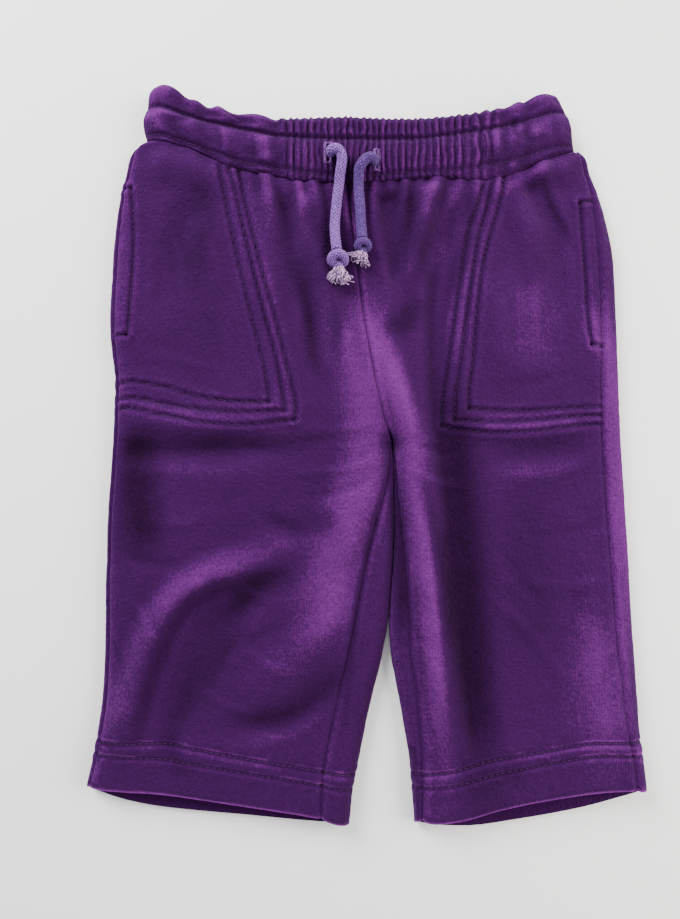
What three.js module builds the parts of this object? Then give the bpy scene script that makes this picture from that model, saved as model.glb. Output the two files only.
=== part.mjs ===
import * as THREE from 'three';

// Baby trousers in velour, lying flat with the front up, in millimetres.
// +z is up and the cloth rests on z = 0. The waist points along +y, and the wearer's right leg is at -x.
// The origin is under the middle of the garment. Every panel is a true wall with the hollow left open.

const cloth = 1.6;
const hemCloth = 3.0;
const seamGap = 0.3;
const innerTrim = 0.4;
const bodyHeight = 9.4;
const edgeHeight = 3.6;
const topRound = 9;
const underRound = 4;
const waistRoll = 7;
const crotchHeight = 4;
const hemLift = 1.5;
const hemStep = 0.8;
const stitchDepth = 0.5;
const hemEdgeDrop = 0.9;
const pleatSpread = 60;

// How far down a panel each crossing line lies, from 0 at the waist seam to 1 at the hem's edge.
const hemTop = 0.86;
const hemLow = 0.9;
const hemWall = { from: 0.848, run: 0.016 };
const hemStepAt = { from: 0.856, run: 0.02 };
const hemDropAt = { from: 0.984, run: 0.016 };
const hemLiftAt = { from: 0.78, run: 0.1 };
const hemCalmAt = { from: 0.8, run: 0.12 };
const hemCalm = 0.45;
const grooveHalf = 0.012;

// The folded outer edges seen from above: where each one lies, and how far the back cloth shows round it.
const outerEdges = [
  { y: -182, right: -137.6, rightWrap: 2.0, left: 137.6, leftWrap: 7.3 },
  { y: -165, right: -136.3, rightWrap: 2.0, left: 136.3, leftWrap: 7.3 },
  { y: -150, right: -133.2, rightWrap: 2.2, left: 134.5, leftWrap: 6.8 },
  { y: -140, right: -131.4, rightWrap: 2.4, left: 133.3, leftWrap: 7.4 },
  { y: -114, right: -128.6, rightWrap: 2.4, left: 131.8, leftWrap: 8.6 },
  { y: -88, right: -128.2, rightWrap: 2.2, left: 130.5, leftWrap: 10.0 },
  { y: -40, right: -128.0, rightWrap: 2.0, left: 128.7, leftWrap: 10.9 },
  { y: 0, right: -125.9, rightWrap: 2.0, left: 126.9, leftWrap: 11.0 },
  { y: 33, right: -124.8, rightWrap: 1.8, left: 126.0, leftWrap: 10.2 },
  { y: 50, right: -127.2, rightWrap: 2.2, left: 125.9, leftWrap: 9.4 },
  { y: 66, right: -128.2, rightWrap: 2.4, left: 125.4, leftWrap: 9.0 },
  { y: 90, right: -127.4, rightWrap: 2.4, left: 124.9, leftWrap: 9.2 },
  { y: 110, right: -126.0, rightWrap: 2.2, left: 122.3, leftWrap: 7.8 },
  { y: 130, right: -123.4, rightWrap: 2.0, left: 117.0, leftWrap: 4.5 },
  { y: 138, right: -121.5, rightWrap: 2.0, left: 113.8, leftWrap: 3.2 },
  { y: 147, right: -119.5, rightWrap: 2.0, left: 111.6, leftWrap: 2.8 },
  { y: 150, right: -118.0, rightWrap: 2.0, left: 108.4, leftWrap: 2.5 },
  { y: 152.5, right: -115.4, rightWrap: 2.0, left: 105.2, leftWrap: 2.4 },
  { y: 155, right: -110.6, rightWrap: 2.0, left: 102.0, leftWrap: 2.4 },
];

// The folded inner edges of the two legs, from the hems up to the crotch.
const innerEdges = [
  { y: -184, right: -9.0, rightWrap: 13.0, left: 23.4, leftWrap: 2.6 },
  { y: -165, right: -6.7, rightWrap: 15.0, left: 22.2, leftWrap: 4.2 },
  { y: -150, right: -3.7, rightWrap: 16.2, left: 20.8, leftWrap: 5.4 },
  { y: -132, right: 0.1, rightWrap: 16.4, left: 17.9, leftWrap: 7.0 },
  { y: -114, right: 4.4, rightWrap: 16.8, left: 14.6, leftWrap: 8.7 },
  { y: -100, right: 7.8, rightWrap: 17.0, left: 11.8, leftWrap: 9.4 },
  { y: -88, right: 9.9, rightWrap: 16.6, left: 11.3, leftWrap: 9.5 },
  { y: -74, right: 11.2, rightWrap: 15.1, left: 12.0, leftWrap: 7.9 },
  { y: -54, right: 12.8, rightWrap: 12.9, left: 13.5, leftWrap: 5.0 },
  { y: -35, right: 13.5, rightWrap: 8.6, left: 14.1, leftWrap: 2.6 },
  { y: -15, right: 13.4, rightWrap: 2.6, left: 13.9, leftWrap: 0.8 },
  { y: 4, right: 12.85, rightWrap: 0, left: 13.15, leftWrap: 0 },
];

const centreSeam = [
  { y: 4, x: 13.0 },
  { y: 20, x: 7.8 },
  { y: 40, x: 3.4 },
  { y: 70, x: -1.7 },
  { y: 100, x: -5.4 },
  { y: 134, x: -8.8 },
];

// The lines that cross the garment, by place across it (x).
const waistLine = [
  { x: -120, y: 152.0 }, { x: -110, y: 154.6 }, { x: -101, y: 153.9 }, { x: -92, y: 151.6 },
  { x: -83, y: 148.2 }, { x: -75, y: 144.3 }, { x: -63, y: 139.6 }, { x: -47, y: 137.0 },
  { x: -34, y: 134.3 }, { x: -10, y: 133.0 }, { x: 14, y: 134.5 }, { x: 37, y: 135.6 },
  { x: 56, y: 134.6 }, { x: 67, y: 136.0 }, { x: 77, y: 138.8 }, { x: 86, y: 142.6 },
  { x: 94, y: 146.1 }, { x: 101, y: 148.2 }, { x: 107, y: 150.4 },
];
const hemTopLine = [
  { x: -132, y: -140.2 }, { x: -99, y: -141.8 }, { x: -60, y: -148.2 }, { x: -22, y: -154.4 },
  { x: -6, y: -156.8 }, { x: 20, y: -156.3 }, { x: 38, y: -155.0 }, { x: 60, y: -149.6 },
  { x: 85, y: -145.0 }, { x: 115, y: -140.8 }, { x: 134, y: -141.2 },
];
const hemLowLine = [
  { x: -134, y: -146.2 }, { x: -99, y: -148.6 }, { x: -60, y: -154.6 }, { x: -22, y: -160.8 },
  { x: -6, y: -164.0 }, { x: 20, y: -162.4 }, { x: 38, y: -161.6 }, { x: 60, y: -156.0 },
  { x: 85, y: -151.0 }, { x: 115, y: -146.8 }, { x: 136, y: -147.6 },
];
const frontHemLine = [
  { x: -136, y: -161.4 }, { x: -124, y: -163.3 }, { x: -100, y: -164.9 }, { x: -61, y: -170.2 },
  { x: -22, y: -176.3 }, { x: -8, y: -179.0 }, { x: 22, y: -177.6 }, { x: 34, y: -178.9 },
  { x: 44, y: -177.7 }, { x: 64, y: -172.4 }, { x: 90, y: -167.2 }, { x: 115, y: -164.1 },
  { x: 137, y: -163.1 },
];
const backHemLine = [
  { x: -137, y: -163.6 }, { x: -128, y: -167.3 }, { x: -116, y: -170.9 }, { x: -100, y: -173.8 },
  { x: -62, y: -177.4 }, { x: -8, y: -181.4 }, { x: 23, y: -181.0 }, { x: 36, y: -182.6 },
  { x: 48, y: -182.9 }, { x: 73, y: -179.8 }, { x: 105, y: -174.1 }, { x: 120, y: -170.2 },
  { x: 137, y: -165.4 },
];

// The largest folds of the front: a soft ridge (rise above 0) or trough along a path seen from above.
// Widths are to the path's own left and right, looking along it, and fades are shares of its length.
const folds = [
  { rise: 5.2, left: 15, right: 9, fadeIn: 0.2, fadeOut: 0.45,
    path: [[-118, -160], [-111, -116], [-91, -72], [-57, -57], [-26, -56]] },
  { rise: -3.2, left: 10, right: 13, fadeIn: 0.35, fadeOut: 0.2,
    path: [[-30, -65], [-72, -83], [-91, -126], [-99, -168]] },
  { rise: 2.8, left: 16, right: 15, fadeIn: 0.4, fadeOut: 0.4,
    path: [[-16, -72], [-36, -100], [-70, -126]] },
  { rise: -3.0, left: 10, right: 11, fadeIn: 0.4, fadeOut: 0.4,
    path: [[-6, -96], [-35, -127], [-82, -140]] },
  { rise: -3.2, left: 9, right: 11, fadeIn: 0.15, fadeOut: 0.5,
    path: [[-124, 1], [-82, -2], [-30, 1]] },
  { rise: 2.2, left: 12, right: 8, fadeIn: 0.2, fadeOut: 0.4,
    path: [[-122, 16], [-82, 12], [-36, 14]] },
  { rise: 4.2, left: 13, right: 24, fadeIn: 0.3, fadeOut: 0.45,
    path: [[-8, 100], [3, 34], [2, -10], [-11, -54], [-24, -94]] },
  { rise: 3.2, left: 7, right: 8, fadeIn: 0.1, fadeOut: 0.5,
    path: [[-31, 131], [-21, 94], [-10, 56], [-2, 14]] },
  { rise: -3.2, left: 8, right: 8, fadeIn: 0.1, fadeOut: 0.5,
    path: [[-42, 133], [-34, 89], [-25, 58], [-22, 26]] },
  { rise: 2.0, left: 8, right: 9, fadeIn: 0.1, fadeOut: 0.5,
    path: [[-52, 132], [-47, 84], [-36, 26]] },
  { rise: -2.8, left: 11, right: 13, fadeIn: 0.25, fadeOut: 0.4,
    path: [[-86, 128], [-93, 104], [-98, 58]] },
  { rise: 2.8, left: 14, right: 14, fadeIn: 0.3, fadeOut: 0.4,
    path: [[-114, 143], [-92, 141], [-64, 126]] },
  { rise: -4.2, left: 15, right: 8, fadeIn: 0.1, fadeOut: 0.1,
    path: [[46, 133], [36, 94], [34, 36], [39, -10], [43, -50], [47, -92], [51, -125], [56, -160]] },
  { rise: 4.0, left: 9, right: 10, fadeIn: 0.25, fadeOut: 0.2,
    path: [[1, 76], [9, 52], [17, 28], [23, 5], [27, -20], [31, -58], [34, -93], [37, -125], [38, -158]] },
  { rise: -3.4, left: 9, right: 9, fadeIn: 0.1, fadeOut: 0.45,
    path: [[10, 131], [14, 99], [24, 60]] },
  { rise: 3.6, left: 7, right: 8, fadeIn: 0.1, fadeOut: 0.45,
    path: [[33, 135], [26, 104], [14, 66]] },
  { rise: 2.0, left: 10, right: 10, fadeIn: 0.1, fadeOut: 0.5,
    path: [[70, 135], [80, 110], [86, 84]] },
  { rise: -2.0, left: 9, right: 10, fadeIn: 0.1, fadeOut: 0.5,
    path: [[82, 136], [94, 108], [94, 66]] },
  { rise: 2.6, left: 20, right: 12, fadeIn: 0.4, fadeOut: 0.25,
    path: [[108, -30], [112, -96], [119, -158]] },
  { rise: 2.6, left: 14, right: 12, fadeIn: 0.3, fadeOut: 0.3,
    path: [[72, 137], [92, 141], [108, 138]] },
  { rise: 1.8, left: 18, right: 16, fadeIn: 0.4, fadeOut: 0.4,
    path: [[62, 96], [66, 60], [74, 20]] },
  { rise: 1.6, left: 14, right: 10, fadeIn: 0.35, fadeOut: 0.35,
    path: [[-110, -12], [-112, -50], [-106, -80]] },
  { rise: -1.8, left: 8, right: 8, fadeIn: 0.4, fadeOut: 0.4,
    path: [[-54, -32], [-40, -38], [-28, -46]] },
  { rise: 1.8, left: 8, right: 9, fadeIn: 0.3, fadeOut: 0.3,
    path: [[40, 14], [78, 10], [116, 14]] },
  { rise: -1.8, left: 9, right: 10, fadeIn: 0.3, fadeOut: 0.4,
    path: [[112, 0], [82, -3], [52, -6]] },
];

// Pleats gathered in at the front waist seam: place, how far each runs down, its lean, width and rise.
const pleats = [
  { x: -101, run: 16, lean: 2, wide: 5.5, rise: 0.5 },
  { x: -87, run: 20, lean: 3, wide: 4.8, rise: 0.8 },
  { x: -76, run: 26, lean: 2, wide: 4.4, rise: 0.6 },
  { x: -67, run: 22, lean: 3, wide: 3.6, rise: 1.1 },
  { x: -59, run: 28, lean: 4, wide: 3.4, rise: 0.7 },
  { x: -50, run: 37, lean: 7, wide: 4.8, rise: 1.9 },
  { x: -41, run: 24, lean: 4, wide: 3.4, rise: 0.5 },
  { x: -34, run: 30, lean: 5, wide: 3.0, rise: 0.8 },
  { x: -26.5, run: 38, lean: 9, wide: 4.6, rise: 1.9 },
  { x: -18, run: 22, lean: 3, wide: 3.2, rise: 0.6 },
  { x: -11.5, run: 29, lean: 2, wide: 2.8, rise: 1.0 },
  { x: -4, run: 26, lean: 1, wide: 3.2, rise: 0.7 },
  { x: 4, run: 34, lean: 0, wide: 3.6, rise: 1.2 },
  { x: 12, run: 22, lean: 1, wide: 3.4, rise: 0.6 },
  { x: 19.5, run: 31, lean: -2, wide: 3.2, rise: 1.3 },
  { x: 27, run: 20, lean: -3, wide: 3.4, rise: 0.5 },
  { x: 36, run: 38, lean: -10, wide: 5.4, rise: 1.8 },
  { x: 47, run: 22, lean: -2, wide: 3.8, rise: 0.7 },
  { x: 55, run: 33, lean: 1, wide: 4.0, rise: 1.1 },
  { x: 64.5, run: 24, lean: 3, wide: 3.8, rise: 0.9 },
  { x: 75, run: 20, lean: 4, wide: 4.6, rise: 0.5 },
  { x: 87, run: 30, lean: 5, wide: 6.0, rise: 1.3 },
];

// Height of the front's top edge at the waist seam. It stands higher where the body's shoulders puff up.
const waistSeamLine = [
  { x: -112, z: 10.2 }, { x: -72, z: 9.7 }, { x: -48, z: 9.0 }, { x: 62, z: 9.0 }, { x: 86, z: 9.7 }, { x: 106, z: 10.0 },
];

// The elastic waistband: its edges and stitched lines by place across it.
const bandLines = [
  { x: -112, top: 182.6, mid: 172.4, low: 158.0 },
  { x: -104, top: 182.9, mid: 171.4, low: 157.2 },
  { x: -94, top: 179.0, mid: 168.0, low: 154.6 },
  { x: -80, top: 172.2, mid: 163.4, low: 149.4 },
  { x: -65, top: 168.4, mid: 160.0, low: 144.0 },
  { x: -42, top: 165.2, mid: 155.8, low: 139.4 },
  { x: -10, top: 165.8, mid: 154.4, low: 136.2 },
  { x: 20, top: 164.8, mid: 154.4, low: 137.6 },
  { x: 50, top: 167.4, mid: 157.8, low: 139.8 },
  { x: 75, top: 172.4, mid: 162.4, low: 144.6 },
  { x: 92, top: 178.2, mid: 167.6, low: 150.0 },
  { x: 106, top: 178.6, mid: 170.2, low: 152.6 },
];
const bandEndThick = 3.0;
const bandBackThick = 3.1;
const bandBackSeamThick = 2.5;
const bandEndHeight = 5.6;
const bandTopHeight = 13.6;
const bandRound = 13;
const bandUnderRound = 7;
const backWave = 0.7;
const backBandProud = 3.4;
const backBandProudRun = 70;

// Gathers of the elastic, by stretch of the band: how many folds stand side by side up to that place,
// how high they stand, and how far each makes a lobe in the band's top edge.
const gathers = [
  { x: -110.8, count: 0, rise: 0.8, lobe: 0.4 },
  { x: -92, count: 1, rise: 1.5, lobe: 1.8 },
  { x: -79.5, count: 2, rise: 1.5, lobe: 2.0 },
  { x: -63, count: 3, rise: 1.5, lobe: 1.8 },
  { x: -44, count: 4, rise: 1.4, lobe: 1.2 },
  { x: -36, count: 6, rise: 1.3, lobe: 0.15 },
  { x: 44, count: 30, rise: 1.3, lobe: 0.15 },
  { x: 62, count: 34, rise: 1.4, lobe: 0.8 },
  { x: 80, count: 36, rise: 1.2, lobe: 1.0 },
  { x: 104.8, count: 37, rise: 0.7, lobe: 0.5 },
];

// Pocket bags under the front panels, by the corners of the stitched outline.
const pocketBags = [
  { side: 'right', inTop: -63, inLow: -36 },
  { side: 'left', inTop: 58, inLow: 38 },
];
const bagCloth = 1.2;
const bagGap = 0.9;
const bagTrim = 0.25;
const bagFrom = 0.03;
const bagTo = 0.365;

// The drawstring's two free ends, where they lie, seen from above.
const cordDiameter = 5.2;
const cordSides = 8;
const cordSteps = 18;
const cordRight = [
  [-18.6, 146.2, 17.6], [-16.9, 146.6, 17.8], [-14.8, 146.5, 17.7], [-13.0, 145.4, 17.6],
  [-12.1, 143.2, 17.3], [-12.0, 141.6, 16.9], [-12.5, 138.1, 15.9], [-13.1, 134.6, 14.5],
  [-13.5, 130.8, 13.2], [-14.0, 127.5, 12.7], [-14.5, 122.7, 12.6], [-15.1, 117.4, 12.5],
  [-15.5, 112.4, 12.5], [-15.5, 107.4, 12.9], [-15.1, 102.4, 14.1], [-14.5, 96.9, 16.0],
];
const cordLeft = [
  [4.9, 142.1, 17.2], [2.9, 142.6, 17.3], [0.8, 142.4, 17.3], [-1.3, 141.1, 17.2],
  [-2.9, 138.9, 16.6], [-3.6, 137.6, 15.9], [-3.8, 134.0, 14.0], [-3.8, 130.0, 12.9],
  [-3.5, 125.0, 12.8], [-3.1, 120.4, 12.7], [-2.8, 114.9, 12.5], [-2.4, 109.4, 12.6],
  [-2.0, 103.6, 13.6],
];
const knotProfile = [
  { along: 0, radius: 2.8 }, { along: 1.2, radius: 4.3 }, { along: 3.4, radius: 5.3 },
  { along: 5.8, radius: 4.9 }, { along: 7.6, radius: 3.6 }, { along: 9.2, radius: 3.8 },
  { along: 12.2, radius: 4.8 }, { along: 15.2, radius: 4.9 }, { along: 17.0, radius: 3.6 },
];
const knots = { right: { turn: -0.05, size: 1 }, left: { turn: 0.65, size: 0.78 } };
const knotSides = 12;
const knotFlat = 0.8;
const knotGap = 1.2;
const tailBend = { from: 3.5, run: 5, step: 0.2 };

const lerp = (a, b, t) => a + (b - a) * t;
const clamp01 = (t) => Math.min(1, Math.max(0, t));
const ease = (t) => clamp01(t) * clamp01(t) * (3 - 2 * clamp01(t));
const stepped = (v, { from, run }) => ease((v - from) / run);
const quarter = Math.PI / 2;

// A smooth curve through a table's rows that never swings past them.
function through(rows, key, value) {
  const t = rows.map((row) => row[key]);
  const f = rows.map((row) => row[value]);
  const slope = t.slice(1).map((end, i) => (f[i + 1] - f[i]) / (end - t[i]));
  const lean = t.map((_, i) => {
    const before = slope[Math.max(i - 1, 0)];
    const after = slope[Math.min(i, slope.length - 1)];
    return before * after > 0 ? (2 * before * after) / (before + after) : 0;
  });
  return (at) => {
    if (at <= t[0]) return f[0];
    if (at >= t[t.length - 1]) return f[f.length - 1];
    let i = 0;
    while (at > t[i + 1]) i += 1;
    const step = t[i + 1] - t[i];
    const u = (at - t[i]) / step;
    const start = (1 + 2 * u) * (1 - u) * (1 - u) * f[i] + u * (1 - u) * (1 - u) * step * lean[i];
    const end = u * u * (3 - 2 * u) * f[i + 1] - u * u * (1 - u) * step * lean[i + 1];
    return start + end;
  };
}

const waist = through(waistLine, 'x', 'y');
const hemTopAt = through(hemTopLine, 'x', 'y');
const hemLowAt = through(hemLowLine, 'x', 'y');
const frontHem = through(frontHemLine, 'x', 'y');
const backHem = through(backHemLine, 'x', 'y');
const waistSeamHeight = through(waistSeamLine, 'x', 'z');
const centreAt = through(centreSeam, 'y', 'x');

const legs = Object.fromEntries(['right', 'left'].map((side) => [side, {
  sign: side === 'right' ? 1 : -1,
  outer: through(outerEdges, 'y', side),
  outerWrap: through(outerEdges, 'y', `${side}Wrap`),
  inner: through(innerEdges, 'y', side),
  innerWrap: through(innerEdges, 'y', `${side}Wrap`),
}]));

// The rounded edge of the flat-lying tube, measured along the cloth from its outermost line.
const topArc = quarter * Math.sqrt((topRound ** 2 + (bodyHeight - edgeHeight) ** 2) / 2);
const underArc = quarter * Math.sqrt((underRound ** 2 + edgeHeight ** 2) / 2);
function inset(arc, fullArc, round, roundness) {
  if (arc >= fullArc) return round + arc - fullArc;
  const turn = (arc / fullArc) * quarter;
  return lerp((round * arc) / fullArc, round * (1 - Math.cos(turn)), roundness);
}
function lift(arc, fullArc, roundness) {
  return arc >= fullArc ? 1 : 1 - roundness * (1 - Math.sin((arc / fullArc) * quarter));
}
function arcOf(distance) {
  if (distance >= topRound) return topArc + distance - topRound;
  return (Math.acos(1 - distance / topRound) / quarter) * topArc;
}

// Height of the front cloth over the floor at a place, from the base height and the folds there.
const foldCurves = folds.map((fold) => {
  const points = fold.path.map(([x, y]) => new THREE.Vector3(x, y, 0));
  const spine = new THREE.CatmullRomCurve3(points, false, 'centripetal').getPoints(24);
  return { ...fold, spine };
});
function foldHeight(fold, x, y) {
  let best = { gap: Infinity, across: 0, share: 0 };
  const last = fold.spine.length - 1;
  for (let i = 0; i < last; i += 1) {
    const a = fold.spine[i];
    const dx = fold.spine[i + 1].x - a.x;
    const dy = fold.spine[i + 1].y - a.y;
    const along = clamp01(((x - a.x) * dx + (y - a.y) * dy) / (dx * dx + dy * dy));
    const gap = Math.hypot(x - a.x - dx * along, y - a.y - dy * along);
    if (gap < best.gap) best = { gap, across: dx * (y - a.y) - dy * (x - a.x), share: (i + along) / last };
  }
  const reach = best.across > 0 ? fold.left : fold.right;
  if (best.gap >= reach) return 0;
  const fade = ease(best.share / fold.fadeIn) * ease((1 - best.share) / fold.fadeOut);
  return fold.rise * fade * 0.5 * (1 + Math.cos((Math.PI * best.gap) / reach));
}
function clothHeight(x, y, v) {
  const top = bodyHeight + hemLift * stepped(v, hemLiftAt);
  const calm = 1 - hemCalm * stepped(v, hemCalmAt);
  const shaped = foldCurves.reduce((sum, fold) => sum + calm * foldHeight(fold, x, y), 0);
  return top + shaped;
}
function pleatHeight(x, y) {
  const down = waist(x) - y;
  return pleats.reduce((sum, pleat) => {
    const crest = pleat.x + (pleat.lean * down) / pleat.run;
    const away = Math.abs(x - crest) / (pleat.wide * (1 + down / pleatSpread));
    if (away >= 1 || down >= pleat.run) return sum;
    const fade = ease((pleat.run - down) / pleat.run);
    return sum + pleat.rise * fade * 0.5 * (1 + Math.cos(Math.PI * away));
  }, 0);
}

// A row of the leg at share v: y at each x, the two edge places and how round the inner edge is.
function rowY(v, x, under) {
  const hem = lerp(frontHem(x), backHem(x), under);
  if (v <= hemTop) return lerp(waist(x), hemTopAt(x), v / hemTop);
  if (v <= hemLow) return lerp(hemTopAt(x), hemLowAt(x), (v - hemTop) / (hemLow - hemTop));
  return lerp(hemLowAt(x), hem, (v - hemLow) / (1 - hemLow));
}
const edgeTries = 8;
function edgePlace(v, guess, placeAt) {
  let x = guess;
  for (let i = 0; i < edgeTries; i += 1) x = placeAt(rowY(v, x, 0));
  return x;
}
function rowAt(side, v) {
  const leg = legs[side];
  const centreX = (y) => centreAt(y) - (leg.sign * seamGap) / 2;
  const outerX = edgePlace(v, -120 * leg.sign, leg.outer);
  const innerX = edgePlace(v, 10, (y) => (y > crotchHeight ? centreX(y) : leg.inner(y)));
  const innerY = rowY(v, innerX, 0);
  const above = clamp01((innerY - crotchHeight) / topRound);
  return {
    leg,
    outerX,
    innerX,
    joined: above > 0,
    roundness: 1 - Math.sqrt(1 - (1 - above) ** 2) * (above > 0 ? 1 : 0),
    outerWrap: arcOf(leg.outerWrap(rowY(v, outerX, 0))),
    innerWrap: above > 0 ? 0 : arcOf(leg.innerWrap(innerY)),
  };
}

// A point of the outer side of the cloth, at an arc length from one of the row's two folded edges.
// Positive arcs run over the top, and negative ones round the edge to the under side.
function fullArc(row) {
  return Math.abs(row.innerX - row.outerX) - 2 * topRound + 2 * topArc;
}
function upperPoint(row, v, edge, arc, under, fine) {
  const full = fullArc(row);
  const outerArc = edge === 'outer' ? arc : full - arc;
  const innerArc = full - outerArc;
  const x = outerArc < innerArc
    ? row.outerX + row.leg.sign * inset(outerArc, topArc, topRound, 1)
    : row.innerX - row.leg.sign * inset(innerArc, topArc, topRound, row.roundness);
  const y = rowY(v, x, under);
  const roll = Math.sin(quarter * clamp01((waist(x) - y) / waistRoll));
  let height = lerp(waistSeamHeight(x), clothHeight(x, y, v), roll);
  if (fine) height += pleatHeight(x, y) + hemHeight(v);
  const lifts = lift(outerArc, topArc, 1) * lift(innerArc, topArc, row.roundness);
  return new THREE.Vector3(x, y, edgeHeight + (height - edgeHeight) * lifts);
}
function underPoint(row, v, edge, arc) {
  const round = edge === 'outer' ? 1 : row.roundness;
  const inward = inset(arc, underArc, underRound, round);
  const x = edge === 'outer' ? row.outerX + row.leg.sign * inward : row.innerX - row.leg.sign * inward;
  return new THREE.Vector3(x, rowY(v, x, 1), edgeHeight * (1 - lift(arc, underArc, round)));
}
function hemHeight(v) {
  const groove = (at) => Math.max(0, 1 - Math.abs(v - at) / grooveHalf);
  const grooves = stitchDepth * (groove(hemTop) + groove(hemLow));
  return hemStep * stepped(v, hemStepAt) - grooves - hemEdgeDrop * stepped(v, hemDropAt);
}

// Front panel: a row's points at shares of the way from the side seam to the centre seam or inseam.
function frontRow(side, v, columns, fine, trim) {
  const row = rowAt(side, v);
  const full = fullArc(row);
  const start = row.outerWrap + seamGap / 2 + trim;
  const end = full - row.innerWrap - (row.joined ? 0 : seamGap / 2) - trim;
  return marked(v, columns.map((s) => {
    const arc = lerp(start, end, s);
    const below = arc > full && row.roundness === 1;
    const point = below ? underPoint(row, v, 'inner', arc - full) : upperPoint(row, v, 'outer', arc, 0, fine);
    return marked(s, point);
  }));
}

// Back panel: a row from the side seam on top, round the outer edge, along the floor and, below the
// crotch, round the inner edge. A station's wrap is a share of the cloth that shows on top there.
const outerStations = [
  { wrap: 1, below: 0 }, { wrap: 0.5, below: 0.4 }, { wrap: 0.16, below: 1 }, { wrap: 0, below: 2.2 },
  { wrap: 0, below: 4.2 }, { wrap: 0, below: 6.6 },
];
const innerStations = [
  { wrap: 0, below: 6.6 }, { wrap: 0, below: 4.2 }, { wrap: 0, below: 2.2 }, { wrap: 0.12, below: 1 },
  { wrap: 0.36, below: 0.5 }, { wrap: 0.66, below: 0.2 }, { wrap: 1, below: 0 },
];
const flatStart = 6.6;
const floorColumns = [
  { below: 0.05, count: 12 }, { below: 0.94, count: 4 }, { below: Infinity, count: 8 },
];
const outerPart = 0.25;
const innerPart = 0.35;
function floorStations(v) {
  const { count } = floorColumns.find((zone) => v < zone.below);
  return Array.from({ length: count - 1 }, (_, i) => (i + 1) / count);
}
function edgePoint(row, v, edge, station, further, trim) {
  const wrap = edge === 'outer' ? row.outerWrap : row.innerWrap;
  const gap = trim + (edge === 'inner' && row.joined ? 0 : seamGap / 2);
  const arc = (wrap - gap) * station.wrap - station.below + further;
  if (arc <= 0 || (edge === 'inner' && row.roundness < 1)) return underPoint(row, v, edge, -arc);
  const under = clamp01(1 - (arc - further) / Math.max(wrap, 1));
  return upperPoint(row, v, edge, arc, under, true);
}
function backRow(side, v, further, trim) {
  const row = rowAt(side, v);
  const outer = underPoint(row, v, 'outer', flatStart);
  const inner = underPoint(row, v, 'inner', flatStart);
  return marked(v, [
    ...outerStations.map((station, i) => {
      const share = (outerPart * i) / (outerStations.length - 1);
      return marked(share, edgePoint(row, v, 'outer', station, -further, trim));
    }),
    ...floorStations(v).map((share) => {
      const x = lerp(outer.x, inner.x, share) + further * row.leg.sign;
      return marked(lerp(outerPart, 1 - innerPart, share), new THREE.Vector3(x, rowY(v, x, 1), 0));
    }),
    ...innerStations.map((station, i) => {
      const share = 1 - innerPart + (innerPart * i) / (innerStations.length - 1);
      return marked(share, edgePoint(row, v, 'inner', station, further, trim));
    }),
  ]);
}

// Gives a row or a point its share of the way across the panel, by which rows are joined.
function marked(share, item) {
  return Object.assign(item, { share });
}

// Joins two rows of numbered points, which may differ in number, with triangles by their shares.
function zip(a, b, faces) {
  let i = 0;
  let j = 0;
  while (i < a.length - 1 || j < b.length - 1) {
    const nextA = i < a.length - 1 ? a[i + 1].share : Infinity;
    const nextB = j < b.length - 1 ? b[j + 1].share : Infinity;
    if (nextA <= nextB) {
      faces.push(a[i].id, a[i + 1].id, b[j].id);
      i += 1;
    } else {
      faces.push(a[i].id, b[j + 1].id, b[j].id);
      j += 1;
    }
  }
}

// A closed wall from the rows of its outer side and the rows of its inner side.
function wallGeometry(outerRows, innerRows) {
  const positions = [];
  const numbered = (rows) => rows.map((row) => marked(row.share, row.map((point) => {
    positions.push(point.x, point.y, point.z);
    return { id: positions.length / 3 - 1, share: point.share };
  })));
  const outer = numbered(outerRows);
  const inner = numbered(innerRows);
  const faces = [];
  for (let i = 1; i < outer.length; i += 1) zip(outer[i - 1], outer[i], faces);
  for (let i = 1; i < inner.length; i += 1) zip(inner[i], inner[i - 1], faces);
  const first = (rows) => rows.map((row) => ({ id: row[0].id, share: row.share }));
  const last = (rows) => rows.map((row) => ({ id: row[row.length - 1].id, share: row.share }));
  zip(inner[0], outer[0], faces);
  zip(outer[outer.length - 1], inner[inner.length - 1], faces);
  zip(first(outer), first(inner), faces);
  zip(last(inner), last(outer), faces);
  const geometry = new THREE.BufferGeometry();
  geometry.setAttribute('position', new THREE.Float32BufferAttribute(positions, 3));
  geometry.setIndex(facingOut(positions, faces));
  geometry.computeVertexNormals();
  return geometry;
}

// Turns all faces over where the closed form would otherwise point inward.
function facingOut(positions, faces) {
  const at = (i) => new THREE.Vector3(positions[3 * i], positions[3 * i + 1], positions[3 * i + 2]);
  let volume = 0;
  for (let i = 0; i < faces.length; i += 3) {
    volume += at(faces[i]).dot(at(faces[i + 1]).cross(at(faces[i + 2])));
  }
  if (volume > 0) return faces;
  return faces.map((_, i) => faces[i - (i % 3) + [0, 2, 1][i % 3]]);
}

// Moves a grid's points along its surface by the wall's thickness. The grids before and after it hold
// the same points a little further along each row, for the slope there.
function offsetGrid(grid, before, after, thickness, side) {
  return grid.map((row, i) => marked(row.share, row.map((point, j) => {
    const up = grid[Math.max(i - 1, 0)];
    const down = grid[Math.min(i + 1, grid.length - 1)];
    const along = new THREE.Vector3().subVectors(nearest(down, point), nearest(up, point));
    const across = new THREE.Vector3().subVectors(after[i][j], before[i][j]);
    const normal = across.cross(along).normalize();
    return marked(point.share, point.clone().addScaledVector(normal, side * thickness(i)));
  })));
}
function nearest(row, point) {
  return row.reduce((best, other) => {
    return Math.abs(other.share - point.share) < Math.abs(best.share - point.share) ? other : best;
  });
}

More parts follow.
